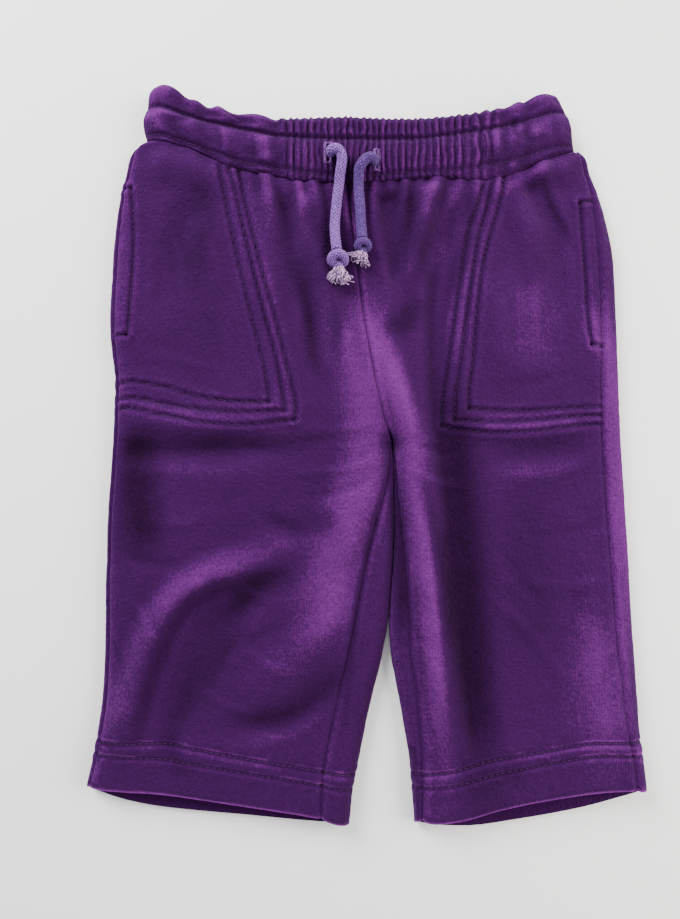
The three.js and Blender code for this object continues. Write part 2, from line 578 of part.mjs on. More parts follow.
const frontColumns = 20;
const edgeCrowding = 0.2;
const shares = (count) => Array.from({ length: count + 1 }, (_, i) => {
  const even = i / count;
  return even - (edgeCrowding * Math.sin(2 * Math.PI * even)) / (2 * Math.PI);
});
const slopeShare = 0.004;
const crotchX = centreSeam[0].x;
const crotchShare = (hemTop * (waist(crotchX) - crotchHeight)) / (waist(crotchX) - hemTopAt(crotchX));
const sharePerMillimetre = 1 / 337;
const crotchRows = [9, 5, 2.3, 0.6, 0, -2.4, -7].map((up) => crotchShare - up * sharePerMillimetre);
const waistRows = [0, 0.008, 0.016, 0.028, 0.042, 0.058, 0.076, 0.098, 0.124];
const hipRows = [0.15, 0.18, 0.21, 0.24, 0.27, 0.3, 0.33];
const legRows = [0.435, 0.465, 0.495, 0.525, 0.555, 0.585, 0.615, 0.645, 0.675, 0.705, 0.735, 0.765, 0.8];
const hemRows = [0.832, 0.848, hemTop, 0.868, 0.89, hemLow, 0.91, 0.95, 0.984, 1];
const frontRows = [...waistRows, ...hipRows, ...crotchRows, ...legRows, ...hemRows];
const innerRows = [
  0, 0.016, 0.042, 0.076, 0.124, 0.18, 0.24, 0.3, ...crotchRows, 0.435, 0.465, 0.495, 0.525, 0.555,
  0.585, 0.615, 0.645, 0.675, 0.705, 0.735, 0.765, 0.8, 0.848, hemTop, 0.95, 1,
];
const backRows = [
  0, 0.008, 0.016, 0.028, 0.042, 0.076, 0.124, 0.18, 0.24, 0.3, ...crotchRows, 0.435, 0.495, 0.555,
  0.615, 0.645, 0.705, 0.765, 0.8, 0.848, hemTop, hemLow, 0.95, 1,
];
const pleatedAbove = 0.12;
const wallAt = (v) => lerp(cloth, hemCloth, stepped(v, hemWall));

function frontPanel(side) {
  const columns = shares(frontColumns);
  const fineColumns = shares(frontColumns * 2);
  const outer = frontRows.map((v) => frontRow(side, v, v < pleatedAbove ? fineColumns : columns, true, 0));
  return wallGeometry(outer, frontLayer(side, wallAt));
}
function frontLayer(side, depthAt) {
  const columns = shares(frontColumns);
  const steps = [0, -slopeShare, slopeShare].map((shift) => {
    return innerRows.map((v) => frontRow(side, v, columns.map((s) => s + shift), false, innerTrim));
  });
  return offsetGrid(...steps, (i) => depthAt(innerRows[i]), legs[side].sign);
}

function backPanel(side) {
  const grid = (further, trim) => backRows.map((v) => backRow(side, v, further, trim));
  const thickness = (i) => wallAt(backRows[i]);
  const steps = [0, -1, 1].map((further) => grid(further, innerTrim));
  return wallGeometry(grid(0, 0), offsetGrid(...steps, thickness, -legs[side].sign));
}

// Pocket bag: a second layer under the front panel, from the side seam to the slanted stitching.
function pocketBag({ side, inTop, inLow }) {
  const between = (row, past, t) => {
    const share = lerp(row[past - 1].share, row[past].share, t);
    return marked(share, row[past - 1].clone().lerp(row[past], t));
  };
  const layer = (depth) => {
    const rows = frontLayer(side, () => depth).filter((row) => row.share > bagFrom && row.share < bagTo);
    return rows.map((row, i) => {
      const limit = lerp(inTop, inLow, i / (rows.length - 1));
      const past = row.findIndex((point) => (point.x - limit) * legs[side].sign > 0);
      const t = (limit - row[past - 1].x) / (row[past].x - row[past - 1].x);
      return marked(row.share, [between(row, 1, bagTrim), ...row.slice(1, past), between(row, past, t)]);
    });
  };
  return wallGeometry(layer(cloth + bagGap), layer(cloth + bagGap + bagCloth));
}

// Waistband: a place along it is a count of gathers from the wearer's right end.
const gatherPlace = through(gathers, 'count', 'x');
const gatherRise = through(gathers, 'count', 'rise');
const gatherLobe = through(gathers, 'count', 'lobe');
const lastGather = gathers[gathers.length - 1].count;
const bandTop = through(bandLines, 'x', 'top');
const bandMid = through(bandLines, 'x', 'mid');
const bandLow = through(bandLines, 'x', 'low');
const arch = (t) => Math.sqrt(1 - (1 - clamp01(t)) ** 2);

// Rows across the front band, from its top edge down to the waist seam: between which lines each lies,
// how far it drops below the crest, how much it waves, and where the band's two ends lie there.
const bandRows = [
  { from: 0, share: 0, drop: 2.4, wave: 0.8, rightEnd: -108.3, leftEnd: 97.4, inside: 9.3, back: true },
  { from: 0, share: 0.3, drop: 0.7, wave: 1, rightEnd: -109.8, leftEnd: 98.6, back: true },
  { from: 0, share: 0.8, drop: 0.8, wave: 0.8, rightEnd: -110.4, leftEnd: 100.6 },
  { from: 1, share: 0, drop: 1.9, wave: 0.3, rightEnd: -110.6, leftEnd: 101.6, inside: 9.3, back: true },
  { from: 1, share: 0.18, drop: 0.7, wave: 0.8, rightEnd: -111.6, leftEnd: 103.0 },
  { from: 1, share: 0.5, drop: 0, wave: 1, rightEnd: -112.6, leftEnd: 104.2, inside: 8.8, back: true },
  { from: 1, share: 0.84, drop: 0.9, wave: 0.8, rightEnd: -111.8, leftEnd: 104.6 },
  { from: 2, share: 0, drop: 2.2, wave: 0.3, rightEnd: -111.0, leftEnd: 105.0 },
  {
    from: 2, share: 1, drop: 4.5, wave: 0.4, rightEnd: -110.6, leftEnd: 105.4, inside: 7.4, back: true, raised: 0.6,
  },
];
const endBlend = 30;
const bandEnds = { right: gathers[0].x, left: gathers[gathers.length - 1].x };
function bandLineY(row, x) {
  const lines = [bandTop(x), bandMid(x), bandLow(x), waist(x) + seamGap];
  return lerp(lines[row.from], lines[row.from + 1], row.share);
}
function bandX(row, x) {
  const toRight = ease(1 - (x - bandEnds.right) / endBlend);
  const toLeft = ease(1 - (bandEnds.left - x) / endBlend);
  return x + (row.rightEnd - bandEnds.right) * toRight + (row.leftEnd - bandEnds.left) * toLeft;
}
function fromEnd(x) {
  return Math.min(x - bandEnds.right, bandEnds.left - x);
}
const gatherUneven = { share: 0.22, turn: 2.3 };
const uneven = (count) => 1 - gatherUneven.share * (1 - Math.sin(count * gatherUneven.turn + 1));
const gatherWave = (count) => 0.5 * (1 - Math.cos(2 * Math.PI * count)) * uneven(count);
const endCounts = [0, 0.05, 0.125];
const gatherColumns = (perGather) => [
  ...endCounts,
  ...Array.from({ length: lastGather * perGather - 1 }, (_, i) => (i + 1) / perGather),
  ...endCounts.map((count) => lastGather - count).reverse(),
];
const innerColumns = [0, 0.6, 1.8, 3.6, 6, 10, 16, 23, 30, 37, 44, 51, 58, 66, 74, 82, 90, 98];
const bandShare = (x) => (x - bandEnds.right) / (bandEnds.left - bandEnds.right);
const bandRow = (row, points) => marked(bandRows.indexOf(row), points);
const insetColumns = (from) => {
  const right = innerColumns.map((inward) => bandEnds.right + from + inward);
  return [...right, ...innerColumns.map((inward) => bandEnds.left - from - inward).reverse()];
};

function frontBand() {
  const outer = bandRows.map((row) => bandRow(row, gatherColumns(4).map((count) => {
    const at = gatherPlace(count);
    const x = bandX(row, at);
    const wave = gatherWave(count);
    const high = bandTopHeight - row.drop + gatherRise(count) * row.wave * wave - bandEndHeight;
    const z = bandEndHeight + seamGap / 2 + high * arch(fromEnd(at) / bandRound);
    const lobe = row.from === 0 ? gatherLobe(count) * (1 - row.share) * (wave - 0.5) : 0;
    return marked(bandShare(at), new THREE.Vector3(x, bandLineY(row, x) + lobe, z));
  })));
  const inner = bandRows.filter((row) => row.inside).map((row) => {
    return bandRow(row, insetColumns(bandEndThick).map((at) => {
      const x = bandX(row, at);
      const inward = arch((fromEnd(at) - bandEndThick) / (bandRound - bandEndThick));
      const z = lerp(bandEndHeight + seamGap / 2, row.inside, inward);
      return marked(bandShare(at), new THREE.Vector3(x, bandLineY(row, x) + (row.raised ?? 0), z));
    }));
  });
  return wallGeometry(outer, inner);
}

function backBand() {
  const rows = bandRows.filter((row) => row.back);
  const proud = (row, x) => {
    return row.from === 0 ? backBandProud * (1 - row.share) * ease(fromEnd(x) / backBandProudRun) : 0;
  };
  const upper = rows.map((row) => bandRow(row, gatherColumns(2).map((count) => {
    const at = lerp(bandEnds.right + bandEndThick, bandEnds.left - bandEndThick, bandShare(gatherPlace(count)));
    const x = bandX(row, at);
    const inward = arch((fromEnd(at) - bandEndThick) / bandUnderRound);
    const thick = (row.raised ? bandBackSeamThick : bandBackThick) + backWave * row.wave * gatherWave(count);
    const z = lerp(bandEndHeight - seamGap / 2, thick, inward);
    return marked(bandShare(at), new THREE.Vector3(x, bandLineY(row, x) + proud(row, at), z));
  })));
  const under = rows.filter((row) => row.inside).map((row) => bandRow(row, insetColumns(0).map((at) => {
    const x = bandX(row, at);
    const z = (bandEndHeight - seamGap / 2) * (1 - arch(fromEnd(at) / bandUnderRound));
    return marked(bandShare(at), new THREE.Vector3(x, bandLineY(row, x) + proud(row, at), z));
  })));
  return wallGeometry(upper, under);
}

// Drawstring: a round cord along its route, and the knot with the frayed end beyond it.
function cordGeometry(route) {
  const path = new THREE.CatmullRomCurve3(route.map((point) => new THREE.Vector3(...point)));
  const section = new THREE.Shape(Array.from({ length: cordSides }, (_, i) => {
    const turn = (2 * Math.PI * i) / cordSides;
    return new THREE.Vector2(Math.cos(turn), Math.sin(turn)).multiplyScalar(cordDiameter / 2);
  }));
  return new THREE.ExtrudeGeometry(section, { steps: cordSteps, extrudePath: path, bevelEnabled: false });
}
function knotGeometry(route, { turn, size }) {
  const end = new THREE.Vector3(...route[route.length - 1]);
  const way = new THREE.Vector3(...route[route.length - 1]).sub(new THREE.Vector3(...route[route.length - 2]));
  const flatWay = new THREE.Vector3(way.x, way.y, 0).normalize();
  const profile = [
    new THREE.Vector2(0, 0),
    ...knotProfile.map((ring) => new THREE.Vector2(ring.radius, ring.along)),
    new THREE.Vector2(0, knotProfile[knotProfile.length - 1].along),
  ];
  const geometry = new THREE.LatheGeometry(profile, knotSides);
  bendTail(geometry, turn);
  geometry.scale(size, size, size * knotFlat);
  geometry.applyQuaternion(new THREE.Quaternion().setFromUnitVectors(new THREE.Vector3(0, 1, 0), flatWay));
  geometry.translate(...end.addScaledVector(flatWay, knotGap).toArray());
  return geometry;
}
function bendTail(geometry, turn) {
  const place = geometry.attributes.position;
  const headingAt = (along) => turn * stepped(along, tailBend);
  for (let i = 0; i < place.count; i += 1) {
    const centre = new THREE.Vector2();
    for (let along = tailBend.step; along <= place.getY(i); along += tailBend.step) {
      centre.x += tailBend.step * Math.sin(headingAt(along));
      centre.y += tailBend.step * Math.cos(headingAt(along));
    }
    const heading = headingAt(place.getY(i));
    place.setXY(i, centre.x + place.getX(i) * Math.cos(heading), centre.y - place.getX(i) * Math.sin(heading));
  }
}

const group = new THREE.Group();
const velour = new THREE.MeshStandardMaterial({ color: 0x53306f, roughness: 0.85, metalness: 0 });
const bagVelour = new THREE.MeshStandardMaterial({ color: 0x4a2a64, roughness: 0.9, metalness: 0 });
const lavender = new THREE.MeshStandardMaterial({ color: 0x8f78ae, roughness: 0.8, metalness: 0 });

function add(name, geometry, material) {
  const mesh = new THREE.Mesh(geometry, material);
  mesh.name = name;
  group.add(mesh);
}

for (const side of ['right', 'left']) {
  add(`front_${side}`, frontPanel(side), velour);
  add(`back_${side}`, backPanel(side), velour);
}
add('waistband_front', frontBand(), velour);
add('waistband_back', backBand(), velour);
for (const bag of pocketBags) add(`pocket_bag_${bag.side}`, pocketBag(bag), bagVelour);
add('drawstring_right', cordGeometry(cordRight), lavender);
add('knot_right', knotGeometry(cordRight, knots.right), lavender);
add('drawstring_left', cordGeometry(cordLeft), lavender);
add('knot_left', knotGeometry(cordLeft, knots.left), lavender);

export default group;
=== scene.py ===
import math

import bpy
import numpy as np
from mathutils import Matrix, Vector
from mathutils.bvhtree import BVHTree


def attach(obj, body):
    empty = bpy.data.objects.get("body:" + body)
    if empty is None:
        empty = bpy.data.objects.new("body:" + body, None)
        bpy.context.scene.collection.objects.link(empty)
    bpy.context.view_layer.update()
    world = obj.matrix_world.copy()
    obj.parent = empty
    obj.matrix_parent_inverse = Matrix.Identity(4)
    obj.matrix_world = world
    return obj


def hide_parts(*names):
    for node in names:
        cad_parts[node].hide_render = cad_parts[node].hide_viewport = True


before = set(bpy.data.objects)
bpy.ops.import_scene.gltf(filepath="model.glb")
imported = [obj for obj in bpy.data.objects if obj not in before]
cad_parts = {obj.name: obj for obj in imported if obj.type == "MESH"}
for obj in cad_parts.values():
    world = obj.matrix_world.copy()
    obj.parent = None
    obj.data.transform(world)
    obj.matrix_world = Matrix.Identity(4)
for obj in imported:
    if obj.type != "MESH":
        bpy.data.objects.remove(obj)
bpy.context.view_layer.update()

# Baby trousers in velour, lying flat with the front up. Lengths are in millimetres until a mesh is made.
# The wearer's right leg is at -x, the waist points along +y and the floor is z = 0.
MM = 0.001
rng = np.random.default_rng(7)


def table(columns, *rows):
    """Rows of a short table, as one array for each named column."""
    return {name: np.array([row[i] for row in rows], float) for i, name in enumerate(columns.split())}


CLOTH = 1.6
HEM_CLOTH = 3.0
SEAM_GAP = 0.3
# Half the gap at a seam, closer here than in the solids, so that no light comes through.
SEAM_CLOSED = 0.04
SEWN_TRIM = 0.05
INNER_TRIM = 0.4
BODY_HEIGHT = 9.4
EDGE_HEIGHT = 3.6
TOP_ROUND = 9.0
UNDER_ROUND = 4.0
WAIST_ROLL = 7.0
CROTCH_HEIGHT = 4.0
HEM_LIFT = 1.5
HEM_STEP = 0.8
STITCH_DEPTH = 0.5
HEM_EDGE_DROP = 0.9
PLEAT_SPREAD = 60.0
HEM_TOP = 0.86
HEM_LOW = 0.9
HEM_CALM = 0.45
GROOVE_HALF = 0.012
# Where a change starts and how far it runs, from 0 at the waist to 1 at the hem.
LIFT_RAMP = (0.78, 0.1)
CALM_RAMP = (0.8, 0.12)
DOUBLE_RAMP = (0.848, 0.016)
STEP_RAMP = (0.856, 0.02)
EDGE_RAMP = (0.984, 0.016)
QUARTER = math.pi / 2

outer_edges = table(
    "y right right_wrap left left_wrap",
    (-182, -137.6, 2.0, 137.6, 7.3), (-165, -136.3, 2.0, 136.3, 7.3), (-150, -133.2, 2.2, 134.5, 6.8),
    (-140, -131.4, 2.4, 133.3, 7.4), (-114, -128.6, 2.4, 131.8, 8.6), (-88, -128.2, 2.2, 130.5, 10.0),
    (-40, -128.0, 2.0, 128.7, 10.9), (0, -125.9, 2.0, 126.9, 11.0), (33, -124.8, 1.8, 126.0, 10.2),
    (50, -127.2, 2.2, 125.9, 9.4), (66, -128.2, 2.4, 125.4, 9.0), (90, -127.4, 2.4, 124.9, 9.2),
    (110, -126.0, 2.2, 122.3, 7.8), (130, -123.4, 2.0, 117.0, 4.5), (138, -121.5, 2.0, 113.8, 3.2),
    (147, -119.5, 2.0, 111.6, 2.8), (150, -118.0, 2.0, 108.4, 2.5), (152.5, -115.4, 2.0, 105.2, 2.4),
    (155, -110.6, 2.0, 102.0, 2.4),
)
inner_edges = table(
    "y right right_wrap left left_wrap",
    (-184, -9.0, 13.0, 23.4, 2.6), (-165, -6.7, 15.0, 22.2, 4.2), (-150, -3.7, 16.2, 20.8, 5.4),
    (-132, 0.1, 16.4, 17.9, 7.0), (-114, 4.4, 16.8, 14.6, 8.7), (-100, 7.8, 17.0, 11.8, 9.4),
    (-88, 9.9, 16.6, 11.3, 9.5), (-74, 11.2, 15.1, 12.0, 7.9), (-54, 12.8, 12.9, 13.5, 5.0),
    (-35, 13.5, 8.6, 14.1, 2.6), (-15, 13.4, 2.6, 13.9, 0.8), (4, 12.85, 0, 13.15, 0),
)
centre_seam = table(
    "y x",
    (4, 13.0), (20, 7.8), (40, 3.4), (70, -1.7), (100, -5.4), (134, -8.8),
)
waist_line = table(
    "x y",
    (-120, 152.0), (-110, 154.6), (-101, 153.9), (-92, 151.6), (-83, 148.2), (-75, 144.3), (-63, 139.6),
    (-47, 137.0), (-34, 134.3), (-10, 133.0), (14, 134.5), (37, 135.6), (56, 134.6), (67, 136.0),
    (77, 138.8), (86, 142.6), (94, 146.1), (101, 148.2), (107, 150.4),
)
hem_top_line = table(
    "x y",
    (-132, -140.2), (-99, -141.8), (-60, -148.2), (-22, -154.4), (-6, -156.8), (20, -156.3),
    (38, -155.0), (60, -149.6), (85, -145.0), (115, -140.8), (134, -141.2),
)
hem_low_line = table(
    "x y",
    (-134, -146.2), (-99, -148.6), (-60, -154.6), (-22, -160.8), (-6, -164.0), (20, -162.4),
    (38, -161.6), (60, -156.0), (85, -151.0), (115, -146.8), (136, -147.6),
)
front_hem_line = table(
    "x y",
    (-136, -161.4), (-124, -163.3), (-100, -164.9), (-61, -170.2), (-22, -176.3), (-8, -179.0),
    (22, -177.6), (34, -178.9), (44, -177.7), (64, -172.4), (90, -167.2), (115, -164.1), (137, -163.1),
)
back_hem_line = table(
    "x y",
    (-137, -163.6), (-128, -167.3), (-116, -170.9), (-100, -173.8), (-62, -177.4), (-8, -181.4),
    (23, -181.0), (36, -182.6), (48, -182.9), (73, -179.8), (105, -174.1), (120, -170.2), (137, -165.4),
)

waist_seam_line = table(
    "x z",
    (-112, 10.2), (-72, 9.7), (-48, 9.0), (62, 9.0), (86, 9.7), (106, 10.0),
)

# The largest folds, as in the CAD part: (rise, left, right, fade_in, fade_out, path).
FOLDS = (
    (5.2, 15, 9, 0.2, 0.45, ((-118, -160), (-111, -116), (-91, -72), (-57, -57), (-26, -56))),
    (-3.2, 10, 13, 0.35, 0.2, ((-30, -65), (-72, -83), (-91, -126), (-99, -168))),
    (2.8, 16, 15, 0.4, 0.4, ((-16, -72), (-36, -100), (-70, -126))),
    (-3.0, 10, 11, 0.4, 0.4, ((-6, -96), (-35, -127), (-82, -140))),
    (-3.2, 9, 11, 0.15, 0.5, ((-124, 1), (-82, -2), (-30, 1))),
    (2.2, 12, 8, 0.2, 0.4, ((-122, 16), (-82, 12), (-36, 14))),
    (4.2, 13, 24, 0.3, 0.45, ((-8, 100), (3, 34), (2, -10), (-11, -54), (-24, -94))),
    (3.2, 7, 8, 0.1, 0.5, ((-31, 131), (-21, 94), (-10, 56), (-2, 14))),
    (-3.2, 8, 8, 0.1, 0.5, ((-42, 133), (-34, 89), (-25, 58), (-22, 26))),
    (2.0, 8, 9, 0.1, 0.5, ((-52, 132), (-47, 84), (-36, 26))),
    (-2.8, 11, 13, 0.25, 0.4, ((-86, 128), (-93, 104), (-98, 58))),
    (2.8, 14, 14, 0.3, 0.4, ((-114, 143), (-92, 141), (-64, 126))),
    (-4.2, 15, 8, 0.1, 0.1,
     ((46, 133), (36, 94), (34, 36), (39, -10), (43, -50), (47, -92), (51, -125), (56, -160))),
    (4.0, 9, 10, 0.25, 0.2,
     ((1, 76), (9, 52), (17, 28), (23, 5), (27, -20), (31, -58), (34, -93), (37, -125), (38, -158))),
    (-3.4, 9, 9, 0.1, 0.45, ((10, 131), (14, 99), (24, 60))),
    (3.6, 7, 8, 0.1, 0.45, ((33, 135), (26, 104), (14, 66))),
    (2.0, 10, 10, 0.1, 0.5, ((70, 135), (80, 110), (86, 84))),
    (-2.0, 9, 10, 0.1, 0.5, ((82, 136), (94, 108), (94, 66))),
    (2.6, 20, 12, 0.4, 0.25, ((108, -30), (112, -96), (119, -158))),
    (2.6, 14, 12, 0.3, 0.3, ((72, 137), (92, 141), (108, 138))),
    (1.8, 18, 16, 0.4, 0.4, ((62, 96), (66, 60), (74, 20))),
    (1.6, 14, 10, 0.35, 0.35, ((-110, -12), (-112, -50), (-106, -80))),
    (-1.8, 8, 8, 0.4, 0.4, ((-54, -32), (-40, -38), (-28, -46))),
    (1.8, 8, 9, 0.3, 0.3, ((40, 14), (78, 10), (116, 14))),
    (-1.8, 9, 10, 0.3, 0.4, ((112, 0), (82, -3), (52, -6))),
)

# Pleats gathered in at the waist seam: place, how far each runs down, its lean, width and rise.
pleats = table(
    "x run lean wide rise",
    (-101, 16, 2, 5.5, 0.5), (-87, 20, 3, 4.8, 0.8), (-76, 26, 2, 4.4, 0.6), (-67, 22, 3, 3.6, 1.1),
    (-59, 28, 4, 3.4, 0.7), (-50, 37, 7, 4.8, 1.9), (-41, 24, 4, 3.4, 0.5), (-34, 30, 5, 3.0, 0.8),
    (-26.5, 38, 9, 4.6, 1.9), (-18, 22, 3, 3.2, 0.6), (-11.5, 29, 2, 2.8, 1.0), (-4, 26, 1, 3.2, 0.7),
    (4, 34, 0, 3.6, 1.2), (12, 22, 1, 3.4, 0.6), (19.5, 31, -2, 3.2, 1.3), (27, 20, -3, 3.4, 0.5),
    (36, 38, -10, 5.4, 1.8), (47, 22, -2, 3.8, 0.7), (55, 33, 1, 4.0, 1.1), (64.5, 24, 3, 3.8, 0.9),
    (75, 20, 4, 4.6, 0.5), (87, 30, 5, 6.0, 1.3),
)
band_lines = table(
    "x top mid low",
    (-112, 182.6, 172.4, 158.0), (-104, 182.9, 171.4, 157.2), (-94, 179.0, 168.0, 154.6),
    (-80, 172.2, 163.4, 149.4), (-65, 168.4, 160.0, 144.0), (-42, 165.2, 155.8, 139.4),
    (-10, 165.8, 154.4, 136.2), (20, 164.8, 154.4, 137.6), (50, 167.4, 157.8, 139.8),
    (75, 172.4, 162.4, 144.6), (92, 178.2, 167.6, 150.0), (106, 178.6, 170.2, 152.6),
)
gathers = table(
    "x count rise lobe",
    (-110.8, 0, 0.8, 0.4), (-92, 1, 1.5, 1.8), (-79.5, 2, 1.5, 2.0), (-63, 3, 1.5, 1.8),
    (-44, 4, 1.4, 1.2), (-36, 6, 1.3, 0.15), (44, 30, 1.3, 0.15), (62, 34, 1.4, 0.8),
    (80, 36, 1.2, 1.0), (104.8, 37, 0.7, 0.5),
)
band_rows = table(
    "line drop wave right_end left_end",
    (0, 2.4, 0.8, -108.3, 97.4), (0.3, 0.7, 1, -109.8, 98.6), (0.8, 0.8, 0.8, -110.4, 100.6),
    (1, 1.9, 0.3, -110.6, 101.6), (1.18, 0.7, 0.8, -111.6, 103.0), (1.5, 0, 1, -112.6, 104.2),
    (1.84, 0.9, 0.8, -111.8, 104.6), (2, 2.2, 0.3, -111.0, 105.0), (3, 4.5, 0.4, -110.6, 105.4),
)
BAND_BACK_THICK = 3.1
BAND_BACK_SEAM_THICK = 2.5
BAND_END_THICK = 3.0
BAND_END_HEIGHT = 5.6
BAND_TOP_HEIGHT = 13.6
BAND_ROUND = 13.0
BAND_UNDER_ROUND = 7.0
BACK_BAND_PROUD = 3.4
BACK_BAND_PROUD_RUN = 70.0
END_BLEND = 30.0


def lerp(a, b, t):
    return a + (b - a) * t


def ease(t):
    t = np.clip(t, 0, 1)
    return t * t * (3 - 2 * t)


def ramp(at, start, run):
    return ease((at - start) / run)


def bell(distance, width):
    return np.exp(-(distance / width) ** 2)


def hump(distance, reach):
    """A rounded height, from 1 at distance 0 to 0 at reach and beyond."""
    return 0.5 * (1 + np.cos(np.pi * np.minimum(distance / reach, 1)))


def through(rows, key, value):
    """A smooth curve through a table's rows that never swings past them."""
    t, f = rows[key], rows[value]
    slope = np.diff(f) / np.diff(t)
    before = np.concatenate([slope[:1], slope])
    after = np.concatenate([slope, slope[-1:]])
    same = before * after > 0
    lean = np.where(same, 2 * before * after / np.where(same, before + after, 1), 0)

    def curve(at):
        at = np.clip(at, t[0], t[-1])
        i = np.clip(np.searchsorted(t, at, side="right") - 1, 0, len(t) - 2)
        step = t[i + 1] - t[i]
        u = (at - t[i]) / step
        start = (1 + 2 * u) * (1 - u) ** 2 * f[i] + u * (1 - u) ** 2 * step * lean[i]
        return start + u * u * (3 - 2 * u) * f[i + 1] - u * u * (1 - u) * step * lean[i + 1]

    return curve


waist = through(waist_line, "x", "y")
waist_seam_height = through(waist_seam_line, "x", "z")
hem_top_at = through(hem_top_line, "x", "y")
hem_low_at = through(hem_low_line, "x", "y")
front_hem = through(front_hem_line, "x", "y")
back_hem = through(back_hem_line, "x", "y")
centre_at = through(centre_seam, "y", "x")
LEGS = {
    side: {
        "sign": 1 if side == "right" else -1,
        "outer": through(outer_edges, "y", side),
        "outer_wrap": through(outer_edges, "y", side + "_wrap"),
        "inner": through(inner_edges, "y", side),
        "inner_wrap": through(inner_edges, "y", side + "_wrap"),
    }
    for side in ("right", "left")
}
TOP_ARC = QUARTER * math.sqrt((TOP_ROUND ** 2 + (BODY_HEIGHT - EDGE_HEIGHT) ** 2) / 2)
UNDER_ARC = QUARTER * math.sqrt((UNDER_ROUND ** 2 + EDGE_HEIGHT ** 2) / 2)


def inset(arc, full_arc, round_, roundness):
    turn = np.clip(arc / full_arc, 0, 1) * QUARTER
    curved = lerp(round_ * arc / full_arc, round_ * (1 - np.cos(turn)), roundness)
    return np.where(arc >= full_arc, round_ + arc - full_arc, curved)


def lift(arc, full_arc, roundness):
    return 1 - roundness * (1 - np.sin(np.clip(arc / full_arc, -1, 1) * QUARTER))


def arc_of(distance):
    curved = np.arccos(np.clip(1 - distance / TOP_ROUND, -1, 1)) / QUARTER * TOP_ARC
    return np.where(distance >= TOP_ROUND, TOP_ARC + distance - TOP_ROUND, curved)


def spline(path, steps=24):
    """Points along a smooth centripetal curve through the path's own points."""
    p = np.array(path, float)
    p = np.vstack([2 * p[0] - p[1], p, 2 * p[-1] - p[-2]])
    points = []
    spans = len(p) - 3
    for at in np.linspace(0, spans, steps + 1):
        i = min(int(at), spans - 1)
        t = at - i
        q = p[i:i + 4]
        gaps = [max(np.linalg.norm(q[k + 1] - q[k]) ** 0.5, 1e-4) for k in range(3)]
        m1 = (q[1] - q[0]) / gaps[0] - (q[2] - q[0]) / (gaps[0] + gaps[1]) + (q[2] - q[1]) / gaps[1]
        m2 = (q[2] - q[1]) / gaps[1] - (q[3] - q[1]) / (gaps[1] + gaps[2]) + (q[3] - q[2]) / gaps[2]
        m1, m2 = m1 * gaps[1], m2 * gaps[1]
        a = 2 * q[1] - 2 * q[2] + m1 + m2
        b = -3 * q[1] + 3 * q[2] - 2 * m1 - m2
        points.append(a * t ** 3 + b * t ** 2 + m1 * t + q[1])
    return np.array(points)


def beside(spine, x, y, reach):
    """Which points lie near a line, and for those the distance, the side, and the share along it."""
    low = spine.min(axis=0) - reach
    high = spine.max(axis=0) + reach
    near = (x > low[0]) & (x < high[0]) & (y > low[1]) & (y < high[1])
    px, py = x[near], y[near]
    best = np.full(px.shape, 1e9)
    across = np.zeros(px.shape)
    share = np.zeros(px.shape)
    last = len(spine) - 1
    for i in range(last):
        ax, ay = spine[i][:2]
        dx, dy = spine[i + 1][0] - ax, spine[i + 1][1] - ay
        along = np.clip(((px - ax) * dx + (py - ay) * dy) / (dx * dx + dy * dy), 0, 1)
        gap = np.hypot(px - ax - dx * along, py - ay - dy * along)
        closer = gap < best
        best = np.where(closer, gap, best)
        across = np.where(closer, dx * (py - ay) - dy * (px - ax), across)
        share = np.where(closer, (i + along) / last, share)
    return near, best, across, share


def fold_height(fold, x, y):
    rise, left, right, fade_in, fade_out, spine = fold
    near, gap, across, share = beside(spine, x, y, max(left, right))
    reach = np.where(across > 0, left, right)
    fade = ease(share / fade_in) * ease((1 - share) / fade_out)
    height = np.zeros(x.shape)
    height[near] = rise * fade * hump(gap, reach)
    return height


fold_curves = [fold[:5] + (spline(fold[5]),) for fold in FOLDS]


def cloth_height(x, y, v):
    calm = 1 - HEM_CALM * ramp(v, *CALM_RAMP)
    folds = sum(fold_height(fold, x, y) for fold in fold_curves)
    return BODY_HEIGHT + HEM_LIFT * ramp(v, *LIFT_RAMP) + calm * folds


def pleat_height(x, y):
    down = waist(x) - y
    total = np.zeros(x.shape)
    for px, run, lean, wide, rise in zip(*pleats.values()):
        away = np.abs(x - px - lean * down / run)
        wider = wide * (1 + np.maximum(down, 0) / PLEAT_SPREAD)
        total += rise * ease((run - down) / run) * hump(away, wider)
    return total


def hem_height(v):
    grooves = sum(np.maximum(0, 1 - np.abs(v - at) / GROOVE_HALF) for at in (HEM_TOP, HEM_LOW))
    return HEM_STEP * ramp(v, *STEP_RAMP) - STITCH_DEPTH * grooves - HEM_EDGE_DROP * ramp(v, *EDGE_RAMP)


def row_y(v, x, under):
    hem = lerp(front_hem(x), back_hem(x), under)
    upper = lerp(waist(x), hem_top_at(x), v / HEM_TOP)
    middle = lerp(hem_top_at(x), hem_low_at(x), (v - HEM_TOP) / (HEM_LOW - HEM_TOP))
    lower = lerp(hem_low_at(x), hem, (v - HEM_LOW) / (1 - HEM_LOW))
    return np.where(v <= HEM_TOP, upper, np.where(v <= HEM_LOW, middle, lower))


